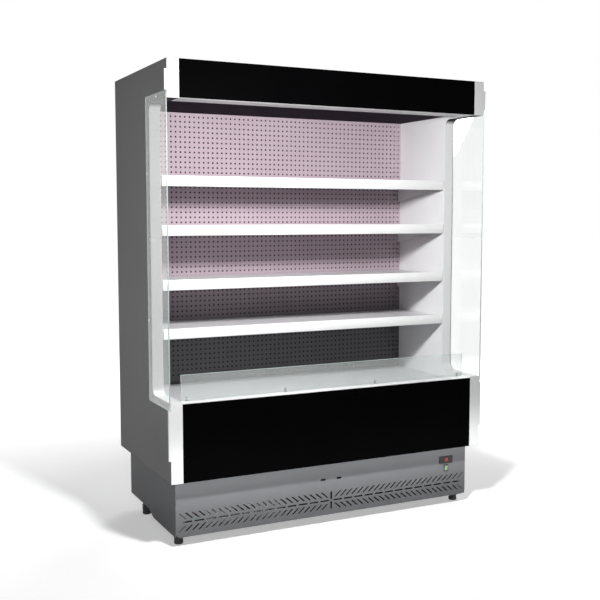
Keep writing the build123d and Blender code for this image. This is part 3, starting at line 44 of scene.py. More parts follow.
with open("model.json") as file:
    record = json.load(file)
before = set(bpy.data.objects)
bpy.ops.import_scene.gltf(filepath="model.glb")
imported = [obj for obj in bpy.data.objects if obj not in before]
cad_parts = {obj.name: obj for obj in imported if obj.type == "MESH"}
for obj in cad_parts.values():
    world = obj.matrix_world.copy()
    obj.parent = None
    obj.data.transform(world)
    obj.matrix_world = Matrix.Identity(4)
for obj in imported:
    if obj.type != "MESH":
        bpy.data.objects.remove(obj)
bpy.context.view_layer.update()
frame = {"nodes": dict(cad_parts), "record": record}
NODES = frame["nodes"]
BODIES = frame["record"]["behaviour"]["bodies"]
BODY_OF = {node: body for body, members in BODIES.items() for node in members}

TINY = 1e-5         # metres within which two places count as one
MERGE = 1e-6        # metres within which two corners become one
WHITE = (1.0, 1.0, 1.0, 1.0)


# --- What a user may change
def length(description, default):
    """A property that holds a size in metres."""
    return FloatProperty(description=description, default=default, min=0.0, precision=4,
                         subtype="DISTANCE", unit="LENGTH")


def colour(description, default):
    """A property that holds a linear colour."""
    return FloatVectorProperty(description=description, default=default, size=3, min=0.0, max=1.0,
                               subtype="COLOR")


class FridgeSizes(PropertyGroup):
    """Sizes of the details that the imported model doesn't carry."""

    sheet: length("Thickness of the folded sheets", 0.0015)
    hole_pitch: length("Spacing of the rear panel's rows of holes", 0.0237)
    hole_column: length("Spacing of the rear panel's columns of holes", 0.02333)
    hole_side: length("Side of each hole of the rear panel", 0.0078)
    hole_start: length("Lower edge of the first row of holes, above the floor", 0.62485)
    panel_depth: length("Rear panel's face to the back of its folded rim", 0.020)
    upright_width: length("Width of each upright", 0.0254)
    upright_cell: length("Width that each hole of an upright takes up", 0.017)
    upright_shift: length("How far past the panel's spacing the upright's holes are",
                          0.0012)
    rail_hole: length("Side of the fine holes in the front rail", 0.004)
    rail_pitch: length("Spacing of the fine holes in the front rail", 0.012)
    rail_cell: length("Depth that each hole of the front rail takes up", 0.008)
    rail_setback: length("Front edge of the rail to its row of holes", 0.009)
    rail_ends: length("Plain ends of the front rail, both together", 0.010)
    rail_flange: length("Depth of the front rail's lower flange", 0.014)
    band: length("Milky band along the rear edge of the side panes", 0.030)
    arris: length("Ground chamfer round the edges of the glass", 0.0011)
    pane_gap: length("Air between a side pane and its wall", 0.0004)
    digit_height: length("Height of the display's figures", 0.0125)


class FridgeColours(PropertyGroup):
    """Paint, plastic, metal and dirt colours, and colours that paint light and shade."""

    white: colour("Trims and lip", (0.86, 0.865, 0.87))
    # Painted light: a paler copy of the white paint, which brightens the front rail.
    rail: colour("Front rail", (0.95, 0.95, 0.95))
    # Painted shade: a greyer copy of the white paint, which darkens the inside of the cabinet and the
    # shelves.
    inside: colour("Inside of the walls, and the shelves", (0.73, 0.72, 0.735))
    # Painted shade and painted light: a greyer, bluer copy of the white paint, which darkens the deck and
    # tints it with bluish light.
    deck: colour("Deck tray and return air grille", (0.60, 0.605, 0.62))
    skin: colour("Outside of the foamed walls", (0.62, 0.62, 0.625))
    # Partly painted light: the panel's grey paint is tinted pink to stand in for the pink light on its
    # upper bays.
    rear: colour("Perforated rear panel and uprights", (0.44, 0.355, 0.40))
    # Painted shade: the rear panel turns to this colour towards its foot, where the shelves shade it.
    rear_low: colour("Greyer lower part of the rear panel", (0.135, 0.130, 0.134))
    # Painted shade: only the left wall's forward-looking cut edges get this grey, standing in for their
    # shade; the right wall's stay white.
    reveal: colour("Cut edge of the left wall's window", (0.31, 0.31, 0.312))
    # Painted shade: near-black for the inside of the rear wall and the air duct behind the rear panel,
    # standing in for their shade.
    liner: colour("Inside of the rear wall, behind the panel", (0.030, 0.027, 0.030))
    black: colour("Canopy and lower front panel", (0.0012, 0.0012, 0.0014))
    plinth: colour("Grille, sides and rear of the plinth", (0.24, 0.244, 0.256))
    # Painted shade: the canopy's ceiling sheets are made this dark to stand in for their shade, and the
    # colour paints shade under the canopy and behind the side panes.
    ceiling: colour("Dark sheets inside the canopy", (0.020, 0.015, 0.024))
    strip: colour("Plastic of the ticket strips", (0.90, 0.90, 0.90))
    opal: colour("Tube of the lamp", (0.86, 0.87, 0.88))
    # Partly painted light: grey plastic made paler and pinker to stand in for the light on the honeycomb.
    honeycomb: colour("Plastic of the air honeycomb", (0.42, 0.38, 0.40))
    keys: colour("Keys of the controller", (0.05, 0.05, 0.052))
    grey_plastic: colour("Other grey mouldings", (0.26, 0.27, 0.28))
    black_plastic: colour("Black mouldings", (0.012, 0.012, 0.013))
    window: colour("Dark red window of the display", (0.10, 0.006, 0.010))
    digits: colour("Lit figures of the display", (0.62, 0.07, 0.08))
    rocker: colour("Lit plastic of the switch", (0.30, 0.46, 0.24))
    zinc: colour("Zinc-plated steel", (0.55, 0.56, 0.58))
    # Painted shade: the base frame's zinc is darkened to stand in for its shade behind the plinth grille.
    frame_zinc: colour("Dull zinc of the base frame", (0.09, 0.09, 0.095))
    aluminium: colour("Fins", (0.78, 0.79, 0.80))
    copper: colour("Refrigerant lines", (0.72, 0.36, 0.22))
    rubber: colour("Levelling feet", (0.014, 0.014, 0.015))
    glass: colour("Tint of the glass", (0.97, 0.985, 0.98))
    haze: colour("Hazy glass of the riser", (0.88, 0.91, 0.90))
    # Also painted light: the ground edges and the milky band glow in their colours.
    glass_edge: colour("Ground edge of the glass", (0.70, 0.83, 0.78))
    band: colour("Milky band of the side panes", (0.80, 0.82, 0.82))
    worn_white: colour("Rubbed edges of white sheet", (0.50, 0.50, 0.51))
    worn_black: colour("Rubbed edges of black sheet", (0.05, 0.05, 0.05))
    worn_grey: colour("Rubbed edges of grey sheet", (0.46, 0.46, 0.46))
    dust: colour("Dust on faces that look up", (0.50, 0.48, 0.45))
    plinth_dirt: colour("Splashes on the plinth", (0.16, 0.15, 0.14))
    foot_dirt: colour("Splashes on the feet", (0.12, 0.11, 0.10))


class FridgeStudio(PropertyGroup):
    """Camera, lamps and room."""

    lens: FloatProperty(description="Focal length on a 36 mm sensor, in millimetres",
                        default=56.6026, min=1.0)
    eye: FloatVectorProperty(description="Place of the camera", size=3,
                             default=(-2.0037, -4.0365, 1.3971), subtype="TRANSLATION", unit="LENGTH")
    yaw: FloatProperty(description="Camera's turn to the right", subtype="ANGLE",
                       default=math.radians(26.4213))
    pitch: FloatProperty(description="Camera's tilt downwards", subtype="ANGLE",
                         default=math.radians(5.0323))
    key: FloatProperty(description="Level of all the lamps", default=1.0, min=0.0)
    room: FloatProperty(description="Level of the light from all round",
                        default=0.05, min=0.0)
    floor: colour("Colour of the floor where it is seen", (0.86, 0.86, 0.86))
    floor_bounce: colour("Colour of the floor for light that it throws back",
                         (0.20, 0.20, 0.20))


# --- Node trees
NODE_WIDTH, NODE_HEIGHT, NODE_ROWS = 180, 160, 4        # layout of a tree's nodes
NOISE_LOW, NOISE_HIGH = 0.3, 0.7                        # where most of a noise's values lie


class Net:
    """Short calls that add nodes to one node tree."""

    def __init__(self, tree):
        self.tree = tree
        self.column = 0

    def feed(self, node, inputs):
        """Gives a node its inputs, each a value or a socket."""
        for key, value in inputs.items():
            if isinstance(value, bpy.types.NodeSocket):
                self.tree.links.new(value, node.inputs[key])
            else:
                node.inputs[key].default_value = value

    def add(self, kind, inputs=None, **settings):
        """A node with its settings and inputs."""
        node = self.tree.nodes.new(kind)
        node.location = (self.column * NODE_WIDTH, -(self.column % NODE_ROWS) * NODE_HEIGHT)
        self.column += 1
        for key, value in settings.items():
            setattr(node, key, value)
        self.feed(node, inputs or {})
        return node

    def math(self, operation, a, b=0.0, clamp=False):
        return self.add("ShaderNodeMath", {0: a, 1: b}, operation=operation, use_clamp=clamp).outputs[0]

    def vector(self, operation, a, b=(0.0, 0.0, 0.0)):
        return self.add("ShaderNodeVectorMath", {0: a, 1: b}, operation=operation).outputs[0]

    def split(self, vector):
        return self.add("ShaderNodeSeparateXYZ", {0: vector}).outputs

    def blend(self, factor, a, b, kind="MIX"):
        node = self.add("ShaderNodeMix", {0: factor, 6: a, 7: b}, data_type="RGBA", blend_type=kind)
        return node.outputs[2]

    def grey(self, value):
        return self.add("ShaderNodeCombineColor", {0: value, 1: value, 2: value}).outputs[0]

    def shaded(self, tint, value):
        """A colour made darker or lighter by a value."""
        return self.blend(1.0, tint, self.grey(value), "MULTIPLY")

    def remap(self, value, low, high, to_low=0.0, to_high=1.0):
        """A value moved from one range to another, and kept inside it."""
        return self.add("ShaderNodeMapRange", {"Value": value, "From Min": low, "From Max": high,
                                               "To Min": to_low, "To Max": to_high}).outputs[0]

    def spread(self, noise, low, high):
        """A noise value spread over a range."""
        return self.remap(noise, NOISE_LOW, NOISE_HIGH, low, high)

    def spot(self):
        """Object coordinates."""
        return self.add("ShaderNodeTexCoord").outputs["Object"]

    def place(self, stretch=(1.0, 1.0, 1.0)):
        """Object coordinates, stretched."""
        return self.add("ShaderNodeMapping", {"Vector": self.spot(), "Scale": stretch}).outputs[0]

    def facing(self):
        """The three parts of the direction that a face looks in."""
        return self.split(self.add("ShaderNodeNewGeometry").outputs["Normal"])

    def noise(self, vector, scale, detail, roughness):
        """A noise value from 0 to 1."""
        return self.add("ShaderNodeTexNoise", {"Vector": vector, "Scale": scale, "Detail": detail,
                                               "Roughness": roughness}).outputs[0]


def rgba(value):
    """A colour with its alpha."""
    return (*value[:3], 1.0)


def socket_type(default):
    """The type of socket that holds a default: a value, a vector or a colour with its alpha."""
    if isinstance(default, float):
        return "NodeSocketFloat"
    return "NodeSocketColor" if len(default) == 4 else "NodeSocketVector"


def new_group(name, inputs, outputs):
    """An empty shader node group: (net, input sockets, output node).

    inputs and outputs give the default of each socket."""
    tree = bpy.data.node_groups.new(name, "ShaderNodeTree")
    for in_out, sockets in (("INPUT", inputs), ("OUTPUT", outputs)):
        for label, default in sockets.items():
            socket = tree.interface.new_socket(name=label, in_out=in_out, socket_type=socket_type(default))
            socket.default_value = default
    net = Net(tree)
    return net, net.add("NodeGroupInput").outputs, net.add("NodeGroupOutput")


SURFACE_OUT = {"Colour": WHITE, "Roughness": 0.5, "Height": 0.0}
MASK_OUT = {"Mask": 0.0}


def build_paint(name):
    """Stoved paint: fine orange peel, faint uneven tone, dust on faces that look up."""
    net, given, out = new_group(name, {"Colour": WHITE, "Tone": 0.05, "Peel": 520.0,
                                       "Roughness": 0.38, "Dust": 0.15}, SURFACE_OUT)
    spot = net.place()
    broad = net.noise(spot, 3.1, detail=5.0, roughness=0.6)
    peel = net.noise(spot, given["Peel"], detail=2.0, roughness=0.55)
    speck = net.noise(spot, 190.0, detail=3.0, roughness=0.7)
    darkest = net.math("SUBTRACT", 1.0, given["Tone"])
    palest = net.math("ADD", 1.0, given["Tone"])
    tinted = net.shaded(given["Colour"], net.spread(broad, darkest, palest))
    upward = net.remap(net.facing()[2], 0.7, 1.0)
    settled = net.math("MULTIPLY", upward, net.remap(speck, 0.45, 0.75, 0.15, 1.0))
    dust = net.math("MULTIPLY", settled, given["Dust"], True)
    sheen = net.math("ADD", given["Roughness"], net.spread(broad, -0.05, 0.07))
    net.feed(out, {"Colour": net.blend(dust, tinted, rgba(bpy.context.scene.fridge_colours.dust)),
                   "Roughness": net.math("ADD", sheen, net.math("MULTIPLY", dust, 0.4), True),
                   "Height": peel})
    return net.tree


def build_brushed(name):
    """Rolled or brushed metal: long fine lines and soft clouds."""
    net, given, out = new_group(name, {"Colour": WHITE, "Stretch": (12.0, 900.0, 900.0),
                                       "Roughness": 0.32, "Clouds": 0.10}, SURFACE_OUT)
    spot = net.spot()
    drawn = net.vector("MULTIPLY", spot, given["Stretch"])
    lines = net.noise(drawn, 1.0, detail=3.0, roughness=0.65)
    clouds = net.noise(spot, 26.0, detail=4.0, roughness=0.6)
    shade = net.math("MULTIPLY", net.spread(clouds, -1.0, 1.0), given["Clouds"])
    tone = net.math("ADD", net.math("ADD", 1.0, shade), net.spread(lines, -0.05, 0.05))
    net.feed(out, {"Colour": net.shaded(given["Colour"], tone),
                   "Roughness": net.math("ADD", given["Roughness"], net.spread(lines, -0.08, 0.10), True),
                   "Height": lines})
    return net.tree


def build_moulded(name):
    """Moulded plastic or rubber: spark grain and faint flow marks."""
    net, given, out = new_group(name, {"Colour": WHITE, "Grain": 1500.0, "Roughness": 0.45,
                                       "Flow": 0.06}, SURFACE_OUT)
    grain = net.noise(net.place(), given["Grain"], detail=2.0, roughness=0.5)
    flow = net.noise(net.place((1.0, 1.0, 3.5)), 17.0, detail=3.0, roughness=0.5)
    marks = net.math("MULTIPLY", net.spread(flow, -1.0, 1.0), given["Flow"])
    net.feed(out, {"Colour": net.shaded(given["Colour"], net.math("ADD", 1.0, marks)),
                   "Roughness": net.math("ADD", given["Roughness"], net.spread(grain, -0.05, 0.05), True),
                   "Height": grain})
    return net.tree


WEAR_FRINGE = 0.0008        # width over which a rubbed edge turns into paint


def build_edge_wear(name):
    """Rubbed edges of a folded plate that fills the box from Low to High."""
    net, given, out = new_group(name, {"Low": (0.0, 0.0, 0.0), "High": (1.0, 1.0, 1.0),
                                       "Width": 0.003}, MASK_OUT)
    spot = net.spot()
    near = net.vector("MINIMUM", net.vector("SUBTRACT", spot, given["Low"]),
                      net.vector("SUBTRACT", given["High"], spot))
    x, y, z = net.split(near)[:3]
    middle = net.math("MAXIMUM", net.math("MINIMUM", x, y),
                      net.math("MINIMUM", net.math("MAXIMUM", x, y), z))
    rough = net.noise(spot, 60.0, detail=5.0, roughness=0.75)
    reach = net.math("MULTIPLY", given["Width"], net.remap(rough, 0.35, 0.7, 0.0, 1.6))
    net.feed(out, {"Mask": net.remap(net.math("SUBTRACT", reach, middle), 0.0, WEAR_FRINGE)})
    return net.tree


SOIL_FULL = 0.02            # height up to which floor soil is at its thickest


def build_floor_soil(name):
    """Mop splashes and scuffs that thin out above the floor."""
    net, given, out = new_group(name, {"Reach": 0.18, "Amount": 0.5}, MASK_OUT)
    spot = net.place()
    low = net.remap(net.split(spot)[2], SOIL_FULL, given["Reach"], 1.0, 0.0)
    drops = net.noise(spot, 34.0, detail=6.0, roughness=0.72)
    lines = net.noise(net.place((9.0, 9.0, 260.0)), 1.0, detail=3.0, roughness=0.6)
    splash = net.remap(drops, 0.46, 0.72)
    scuff = net.remap(lines, 0.62, 0.74, 0.0, 0.7)
    marks = net.math("MULTIPLY", low, net.math("MAXIMUM", splash, scuff))
    net.feed(out, {"Mask": net.math("MULTIPLY", marks, given["Amount"], True)})
    return net.tree


# Faces that look down above CANOPY_FOOT get painted shade, and between the two front depths painted light
# whitens the walls towards the front.
SKIN = 0.0035                               # depth of the shell that counts as its outside
CANOPY_FOOT = 1.6                           # height above which a face that looks down is dark
FRONT_LIGHT_STARTS, FRONT_FULL_LIGHT = 0.16, -0.12     # depths between which the walls whiten to the front


def build_outside(name):
    """Masks of the foamed shell, by place and by the direction that a face looks in.

    Mask is the outer skin, Duct the inside of the air duct, Under what looks down inside the canopy, Cut
    the walls' edges that look forwards, Front the walls' front, and Gasket the outer skin behind the side
    panes. Duct, Under and Gasket paint shade there, and Front paints light."""
    sides = ("Half Width", "Half Depth", "Top", "Panel", "Inner")
    corners = ("Pane Low", "Pane High")
    net, given, out = new_group(
        name, {**dict.fromkeys(sides, 1.0), **dict.fromkeys(corners, (0.0, 0.0, 0.0))},
        dict.fromkeys(("Mask", "Duct", "Under", "Cut", "Front", "Gasket"), 0.0))
    x, y, z = net.split(net.spot())[:3]
    across = net.math("ABSOLUTE", x)
    beside, behind, above = (
        net.math("GREATER_THAN", value, net.math("SUBTRACT", given[side], SKIN))
        for value, side in ((across, "Half Width"), (y, "Half Depth"), (z, "Top")))
    outer = net.math("MAXIMUM", net.math("MAXIMUM", beside, behind), above)
    between = net.math("LESS_THAN", across, given["Inner"])
    duct = net.math("MULTIPLY", net.math("GREATER_THAN", y, given["Panel"]), between)
    shade_behind_panes = beside
    for value, axis in ((y, 1), (z, 2)):
        low, high = (net.split(given[corner])[axis] for corner in corners)
        shade_behind_panes = net.math("MULTIPLY", shade_behind_panes, net.math("GREATER_THAN", value, low))
        shade_behind_panes = net.math("MULTIPLY", shade_behind_panes, net.math("LESS_THAN", value, high))
    facing = net.facing()
    forwards = net.remap(facing[1], -0.95, -0.6, 1.0, 0.0)
    downwards = net.remap(facing[2], -0.9, -0.4, 1.0, 0.0)
    net.feed(out, {"Mask": outer,
                   "Duct": net.math("SUBTRACT", duct, outer, True),
                   "Under": net.math("MULTIPLY", downwards, net.math("GREATER_THAN", z, CANOPY_FOOT)),
                   "Cut": net.math("MULTIPLY", forwards, net.math("SUBTRACT", 1.0, between)),
                   "Front": net.remap(y, FRONT_LIGHT_STARTS, FRONT_FULL_LIGHT),
                   "Gasket": shade_behind_panes})
    return net.tree


def build_height_fade(name):
    """How far down a tall panel a point is: 0 from High upwards, and 1 below Low. The rear panel's painted
    shade follows it.
    """
    net, given, out = new_group(name, {"Low": 0.82, "High": 1.22}, MASK_OUT)
    height = net.split(net.spot())[2]
    net.feed(out, {"Mask": net.remap(height, given["Low"], given["High"], 1.0, 0.0)})
    return net.tree


GROUPS = {
    "Height Fade": build_height_fade,
    "Stoved Paint": build_paint,
    "Brushed Metal": build_brushed,
    "Moulded Grain": build_moulded,
    "Edge Wear": build_edge_wear,
    "Floor Soil": build_floor_soil,
    "Outer Skin": build_outside,
}


def use(net, name, inputs=None):
    """The outputs of a shared group, which is built on its first use."""
    tree = bpy.data.node_groups.get(name) or GROUPS[name](name)
    return net.add("ShaderNodeGroup", inputs, node_tree=tree).outputs


def empty_net(owner):
    """The cleared node tree of a material, a world or a lamp."""
    owner.use_nodes = True
    owner.node_tree.nodes.clear()
    return Net(owner.node_tree)


def new_material(name):
    """An empty node material: (material, net, shader)."""
    material = bpy.data.materials.new(name)
    net = empty_net(material)
    shader = net.add("ShaderNodeBsdfPrincipled")
    output = net.add("ShaderNodeOutputMaterial", {"Surface": shader.outputs[0]})
    shader.location, output.location = (900, 0), (1200, 0)
    return material, net, shader


Wear = namedtuple("Wear", "node width colour")      # rubbed edges of a node
Soil = namedtuple("Soil", "reach amount colour")    # splashes up to a height
WORN_ROUGHER, SOILED_ROUGHER = 0.15, 0.25           # what each adds to the roughness
RELIEF = 0.4                                        # strength of every bump
PANEL_CLEAR, WALL_CLEAR = 0.002, 0.001              # how far past its faces the duct's mask is


def shell_colour(net, inside, cut):
    """The colours of a foamed wall, from the inside out, with painted light at its front and painted shade
    in the duct, under the canopy and behind the side panes: cut is the colour of its cut edges, painted
    shade on the left wall.
    """
    shades, sizes = bpy.context.scene.fridge_colours, bpy.context.scene.fridge_sizes
    wall_low, wall_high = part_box("side_wall_right")
    pane_low, pane_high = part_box("side_pane_left")
    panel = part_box("back_panel")[1].y - sizes.panel_depth
    masks = use(net, "Outer Skin", {
        "Half Width": wall_high.x, "Half Depth": wall_high.y, "Top": wall_high.z,
        "Panel": panel + PANEL_CLEAR, "Inner": wall_low.x + WALL_CLEAR,
        "Pane Low": pane_low, "Pane High": pane_high})
    # The front layer paints light; the duct, the faces under the canopy, the skin behind the panes and the
    # left wall's cut edges get painted shade.
    tint = inside
    for mask, over in (("Front", shades.white), ("Duct", shades.liner), ("Cut", cut),
                       ("Under", shades.ceiling), ("Mask", shades.skin), ("Gasket", shades.ceiling)):
        tint = net.blend(masks[mask], tint, rgba(over))
    return tint


def surface(name, kind, inputs, bump=0.0002, wear=None, soil=None, cut=None, fade=None, **fixed):
    """A material on one of the shared groups, with a relief as deep as bump.

    wear is a Wear and soil a Soil. cut is the colour of a foamed wall's cut edges, painted shade on the
    left wall, and fade the painted shade that a tall panel turns to at its foot. fixed are values of the
    shader itself."""
    material, net, shader = new_material(name)
    tint = inputs["Colour"]
    if cut is not None:
        tint = shell_colour(net, tint, cut)
    if fade is not None:
        tint = net.blend(use(net, "Height Fade")["Mask"], tint, rgba(fade))
    made = use(net, kind, {**inputs, "Colour": tint})
    marks = []
    if wear:
        low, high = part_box(wear.node)
        worn = use(net, "Edge Wear", {"Low": low, "High": high, "Width": wear.width})["Mask"]
        marks.append((worn, wear.colour, WORN_ROUGHER))
    if soil:
        soiled = use(net, "Floor Soil", {"Reach": soil.reach, "Amount": soil.amount})["Mask"]
        marks.append((soiled, soil.colour, SOILED_ROUGHER))
    tint, rough = made["Colour"], made["Roughness"]
    for mask, over, rougher in marks:
        tint = net.blend(mask, tint, rgba(over))
        rough = net.math("ADD", rough, net.math("MULTIPLY", mask, rougher), True)
    relief = net.add("ShaderNodeBump", {"Height": made["Height"], "Distance": bump, "Strength": RELIEF})
    net.feed(shader, {"Base Color": tint, "Roughness": rough, "Normal": relief.outputs[0]})
    net.feed(shader, {key.replace("_", " "): value for key, value in fixed.items()})
    return material


def glass(name, tint, roughness=0.0, clearness=1.0, glow=0.0):
    """Glass with faint smears, which lets the light of the lamps and of other surfaces through.

    Clearness below 1 adds haze, and glow is painted light: a glow in the glass's own colour that stands in
    for the light a ground edge gathers."""
    material, net, shader = new_material(name)
    smear = net.noise(net.place((1.0, 1.0, 0.35)), 9.0, detail=5.0, roughness=0.65)
    net.feed(shader, {"Base Color": net.shaded(rgba(tint), net.spread(smear, 0.97, 1.0)),
                      "Roughness": net.remap(smear, 0.45, 0.8, roughness, roughness + 0.03),
                      "Transmission Weight": clearness, "IOR": 1.38, "Specular IOR Level": 0.2,
                      "Emission Color": rgba(tint), "Emission Strength": glow})
    through = net.add("ShaderNodeBsdfTransparent", {"Color": rgba(tint)})
    path = net.add("ShaderNodeLightPath").outputs
    light = net.math("MAXIMUM", path["Is Shadow Ray"], path["Is Diffuse Ray"])
    both = net.add("ShaderNodeMixShader", {0: light, 1: shader.outputs[0], 2: through.outputs[0]})
    output = next(node for node in net.tree.nodes if node.type == "OUTPUT_MATERIAL")
    net.feed(output, {"Surface": both.outputs[0]})
    return material


def lit(name, tint, level, **inputs):
    """A moulded plastic that glows in its own colour, with faintly paler patches."""
    material, net, shader = new_material(name)
    made = use(net, "Moulded Grain", {"Colour": rgba(tint), **inputs})
    patches = net.noise(net.place(), 220.0, detail=1.0, roughness=0.4)
    net.feed(shader, {"Base Color": made["Colour"], "Roughness": made["Roughness"],
                      "Emission Color": net.blend(net.spread(patches, 0.0, 0.25), rgba(tint), WHITE),
                      "Emission Strength": level})
    return material


# --- Finishes
# Below painted, moulded and metal, each function is named after a slot of the record and makes
# the material of that slot in the version that a node needs.
def painted(name, tint, tone, roughness, dust, **more):
    """Stoved paint of one colour."""
    return surface(name, "Stoved Paint", {"Colour": rgba(tint), "Tone": tone, "Roughness": roughness,
                                          "Dust": dust}, **more)


def moulded(name, tint, roughness, grain=1500.0, flow=0.06, **more):
    """Moulded plastic or rubber of one colour."""
    return surface(name, "Moulded Grain", {"Colour": rgba(tint), "Grain": grain,
                                           "Roughness": roughness, "Flow": flow}, **more)


def metal(name, tint, roughness, bump, clouds=0.10, stretch=(12.0, 900.0, 900.0)):
    """Rolled or drawn metal, whose lines run where stretch is least."""
    return surface(name, "Brushed Metal", {"Colour": rgba(tint), "Stretch": stretch,
                                           "Roughness": roughness, "Clouds": clouds},
                   bump=bump, Metallic=1.0)


# The rear wall's inside is painted with the duct's shade.
def foamed_panel(name, node, shades):
    # The inside of the walls is the greyer copy of the white paint, which paints shade.
    return painted(name, shades.liner if node == "rear_wall" else shades.inside,
                   tone=0.03, roughness=0.42, dust=0.25, wear=Wear(node, 0.0012, shades.worn_white),
                   # On the left wall the cut edges get painted shade.
                   cut=shades.reveal if node == "side_wall_left" else shades.white,
                   Specular_IOR_Level=0.015)


def white_paint(name, node, shades):
    # Lit and shaded copies of the white paint: the rail paler as painted light, the shelves and canopy
    # liner greyer as painted shade, the deck greyer and bluer as painted shade and painted light.
    tints = {"deck_tray": shades.deck, "return_air_grille": shades.deck, "front_rail": shades.rail,
             "canopy_liner": shades.inside}
    tint = shades.inside if node.startswith("shelf_") else tints.get(node, shades.white)
    return painted(name, tint, tone=0.03, roughness=0.34, dust=0.12,
                   wear=Wear(node, 0.0010, shades.worn_white), Specular_IOR_Level=0.15)


def black_panel(name, node, shades):
    return painted(name, shades.black, tone=0.2, roughness=0.5, dust=0.1,
                   wear=Wear(node, 0.0013, shades.worn_black), Specular_IOR_Level=0.006)


def grey_paint(name, node, shades):
    return painted(name, shades.plinth, tone=0.05, roughness=0.46, dust=0.3,
                   wear=Wear(node, 0.0016, shades.worn_grey),
                   soil=Soil(0.19, 0.35, shades.plinth_dirt), Specular_IOR_Level=0.12)


# The pink of this paint is partly painted light.
def pinkish_grey_paint(name, node, shades):
    # The panel's lower bays get painted shade, the shade of the shelves above them.
    return painted(name, shades.rear, tone=0.04, roughness=0.5, dust=0.1, fade=shades.rear_low,
                   Specular_IOR_Level=0.08)


def dark_paint(name, node, shades):
    # This dark colour paints the shade inside the canopy.
    return painted(name, shades.ceiling, tone=0.15, roughness=0.75, dust=0.2, Specular_IOR_Level=0.02)


def clear_glass(name, node, shades):
    return glass(name, shades.glass)


def white_plastic(name, node, shades):
    return moulded(name, shades.strip, roughness=0.3, grain=900.0, flow=0.02, bump=0.0001)


def lamp_opal(name, node, shades):
    return moulded(name, shades.opal, roughness=0.22, grain=700.0, flow=0.02, bump=0.00005)


def grey_plastic(name, node, shades):
    # The honeycomb's paler, pinker grey is partly painted light.
    tints = {"air_honeycomb": shades.honeycomb, "key_left": shades.keys, "key_right": shades.keys}
    return moulded(name, tints.get(node, shades.grey_plastic), roughness=0.42, Specular_IOR_Level=0.2)


def black_plastic(name, node, shades):
    return moulded(name, shades.black_plastic, roughness=0.4)


def display_window(name, node, shades):
    return moulded(name, shades.window, roughness=0.12, grain=300.0, bump=0.00002)


def green_plastic(name, node, shades):
    return lit(name, shades.rocker, 0.14, Grain=600.0, Roughness=0.25)


def zinc_steel(name, node, shades):
    # The base frame gets the zinc darkened as painted shade.
    tint = shades.frame_zinc if node == "base_frame" else shades.zinc
    return metal(name, tint, roughness=0.36, clouds=0.22, bump=0.00006)


def fin_aluminium(name, node, shades):
    return metal(name, shades.aluminium, roughness=0.30, stretch=(900.0, 900.0, 20.0), bump=0.00005)


def copper(name, node, shades):
    return metal(name, shades.copper, roughness=0.28, clouds=0.30, stretch=(300.0, 300.0, 300.0),
                 bump=0.00004)


def black_rubber(name, node, shades):
    return moulded(name, shades.rubber, roughness=0.5, grain=1100.0, flow=0.2,
                   soil=Soil(0.06, 0.4, shades.foot_dirt))


FINISHES = {finish.__name__: finish for finish in (
    foamed_panel, white_paint, black_panel, grey_paint, pinkish_grey_paint, dark_paint, clear_glass,
    white_plastic, lamp_opal, grey_plastic, black_plastic, display_window, green_plastic, zinc_steel,
    fin_aluminium, copper, black_rubber)}
OWN_SLOTS = ("foamed_panel", "white_paint", "black_panel", "grey_paint")      # one material a node
OWN_NODES = ("air_honeycomb", "base_frame", "key_left", "key_right")


def finish_for(slot, node=""):
    """The material of a record's slot, in the version that this node needs."""
    name = f"{slot} {node or 'finish'}"
    return bpy.data.materials.get(name) or FINISHES[slot](name, node, bpy.context.scene.fridge_colours)


def slot_of(node):
    """The record's slot of a CAD node, from the name of its packed material."""
    return next(m.name.split(".")[0] for m in NODES[node].data.materials if m)


# --- Pieces
CREASE = 32.0           # degrees above which an edge is shaded sharp
FOLD = 34.0             # degrees above which an edge is rounded
FLAT = 0.4              # degrees below which two faces are one


def mesh_of(name, bm):
    """The mesh of a finished bm, which this uses up."""
    mesh = bpy.data.meshes.new(name)
    bm.to_mesh(mesh)
    bm.free()
    return mesh


def add_object(name, data):
    """Adds an object to the scene."""
    made = bpy.data.objects.new(name, data)
    bpy.context.scene.collection.objects.link(made)
    return made


def add_piece(name, bm, node, slot, materials, replaces=(), even=False):
    """Makes a finished mesh a piece: on its node's body and in place of CAD nodes; its slot is not used."""
    mesh = mesh_of(name, bm)
    mesh.shade_smooth()
    mesh.set_sharp_from_angle(angle=math.radians(CREASE))
    for material in materials:
        mesh.materials.append(material)
    piece = add_object(name, mesh)
    if even:
        piece.modifiers.new("Even Shading", "WEIGHTED_NORMAL").keep_sharp = True
    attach(piece, BODY_OF[node])
    if replaces:
        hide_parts(*replaces)


def merged_copy(node):
    """A CAD node's mesh with its doubles merged and its flat faces whole."""
    bm = bmesh.new()
    bm.from_mesh(NODES[node].data)
    bmesh.ops.remove_doubles(bm, verts=bm.verts, dist=MERGE)
    bmesh.ops.dissolve_limit(bm, angle_limit=math.radians(FLAT), verts=bm.verts, edges=bm.edges)
    return bm


def rounded(bm, radius, segments):
    """Rounds the edges at which a mesh turns."""
    limit = math.radians(FOLD)
    turns = [e for e in bm.edges if len(e.link_faces) == 2 and e.calc_face_angle(0.0) > limit]
    bmesh.ops.bevel(bm, geom=turns, offset=radius, offset_type="OFFSET", segments=segments,
                    profile=0.5, affect="EDGES", clamp_overlap=True, material=-1)


def block(bm, low, high):
    """Adds a box between two corners."""
    low, high = Vector(low), Vector(high)
    middle, size = Matrix.Translation((low + high) / 2), Matrix.Diagonal((*(high - low), 1.0))
    bmesh.ops.create_cube(bm, size=1.0, matrix=middle @ size)


def joined(parts):
    """Several meshes in one, which uses them up."""
    whole = bmesh.new()
    for bm in parts:
        mesh = mesh_of("part", bm)
        whole.from_mesh(mesh)
        bpy.data.meshes.remove(mesh)
    return whole


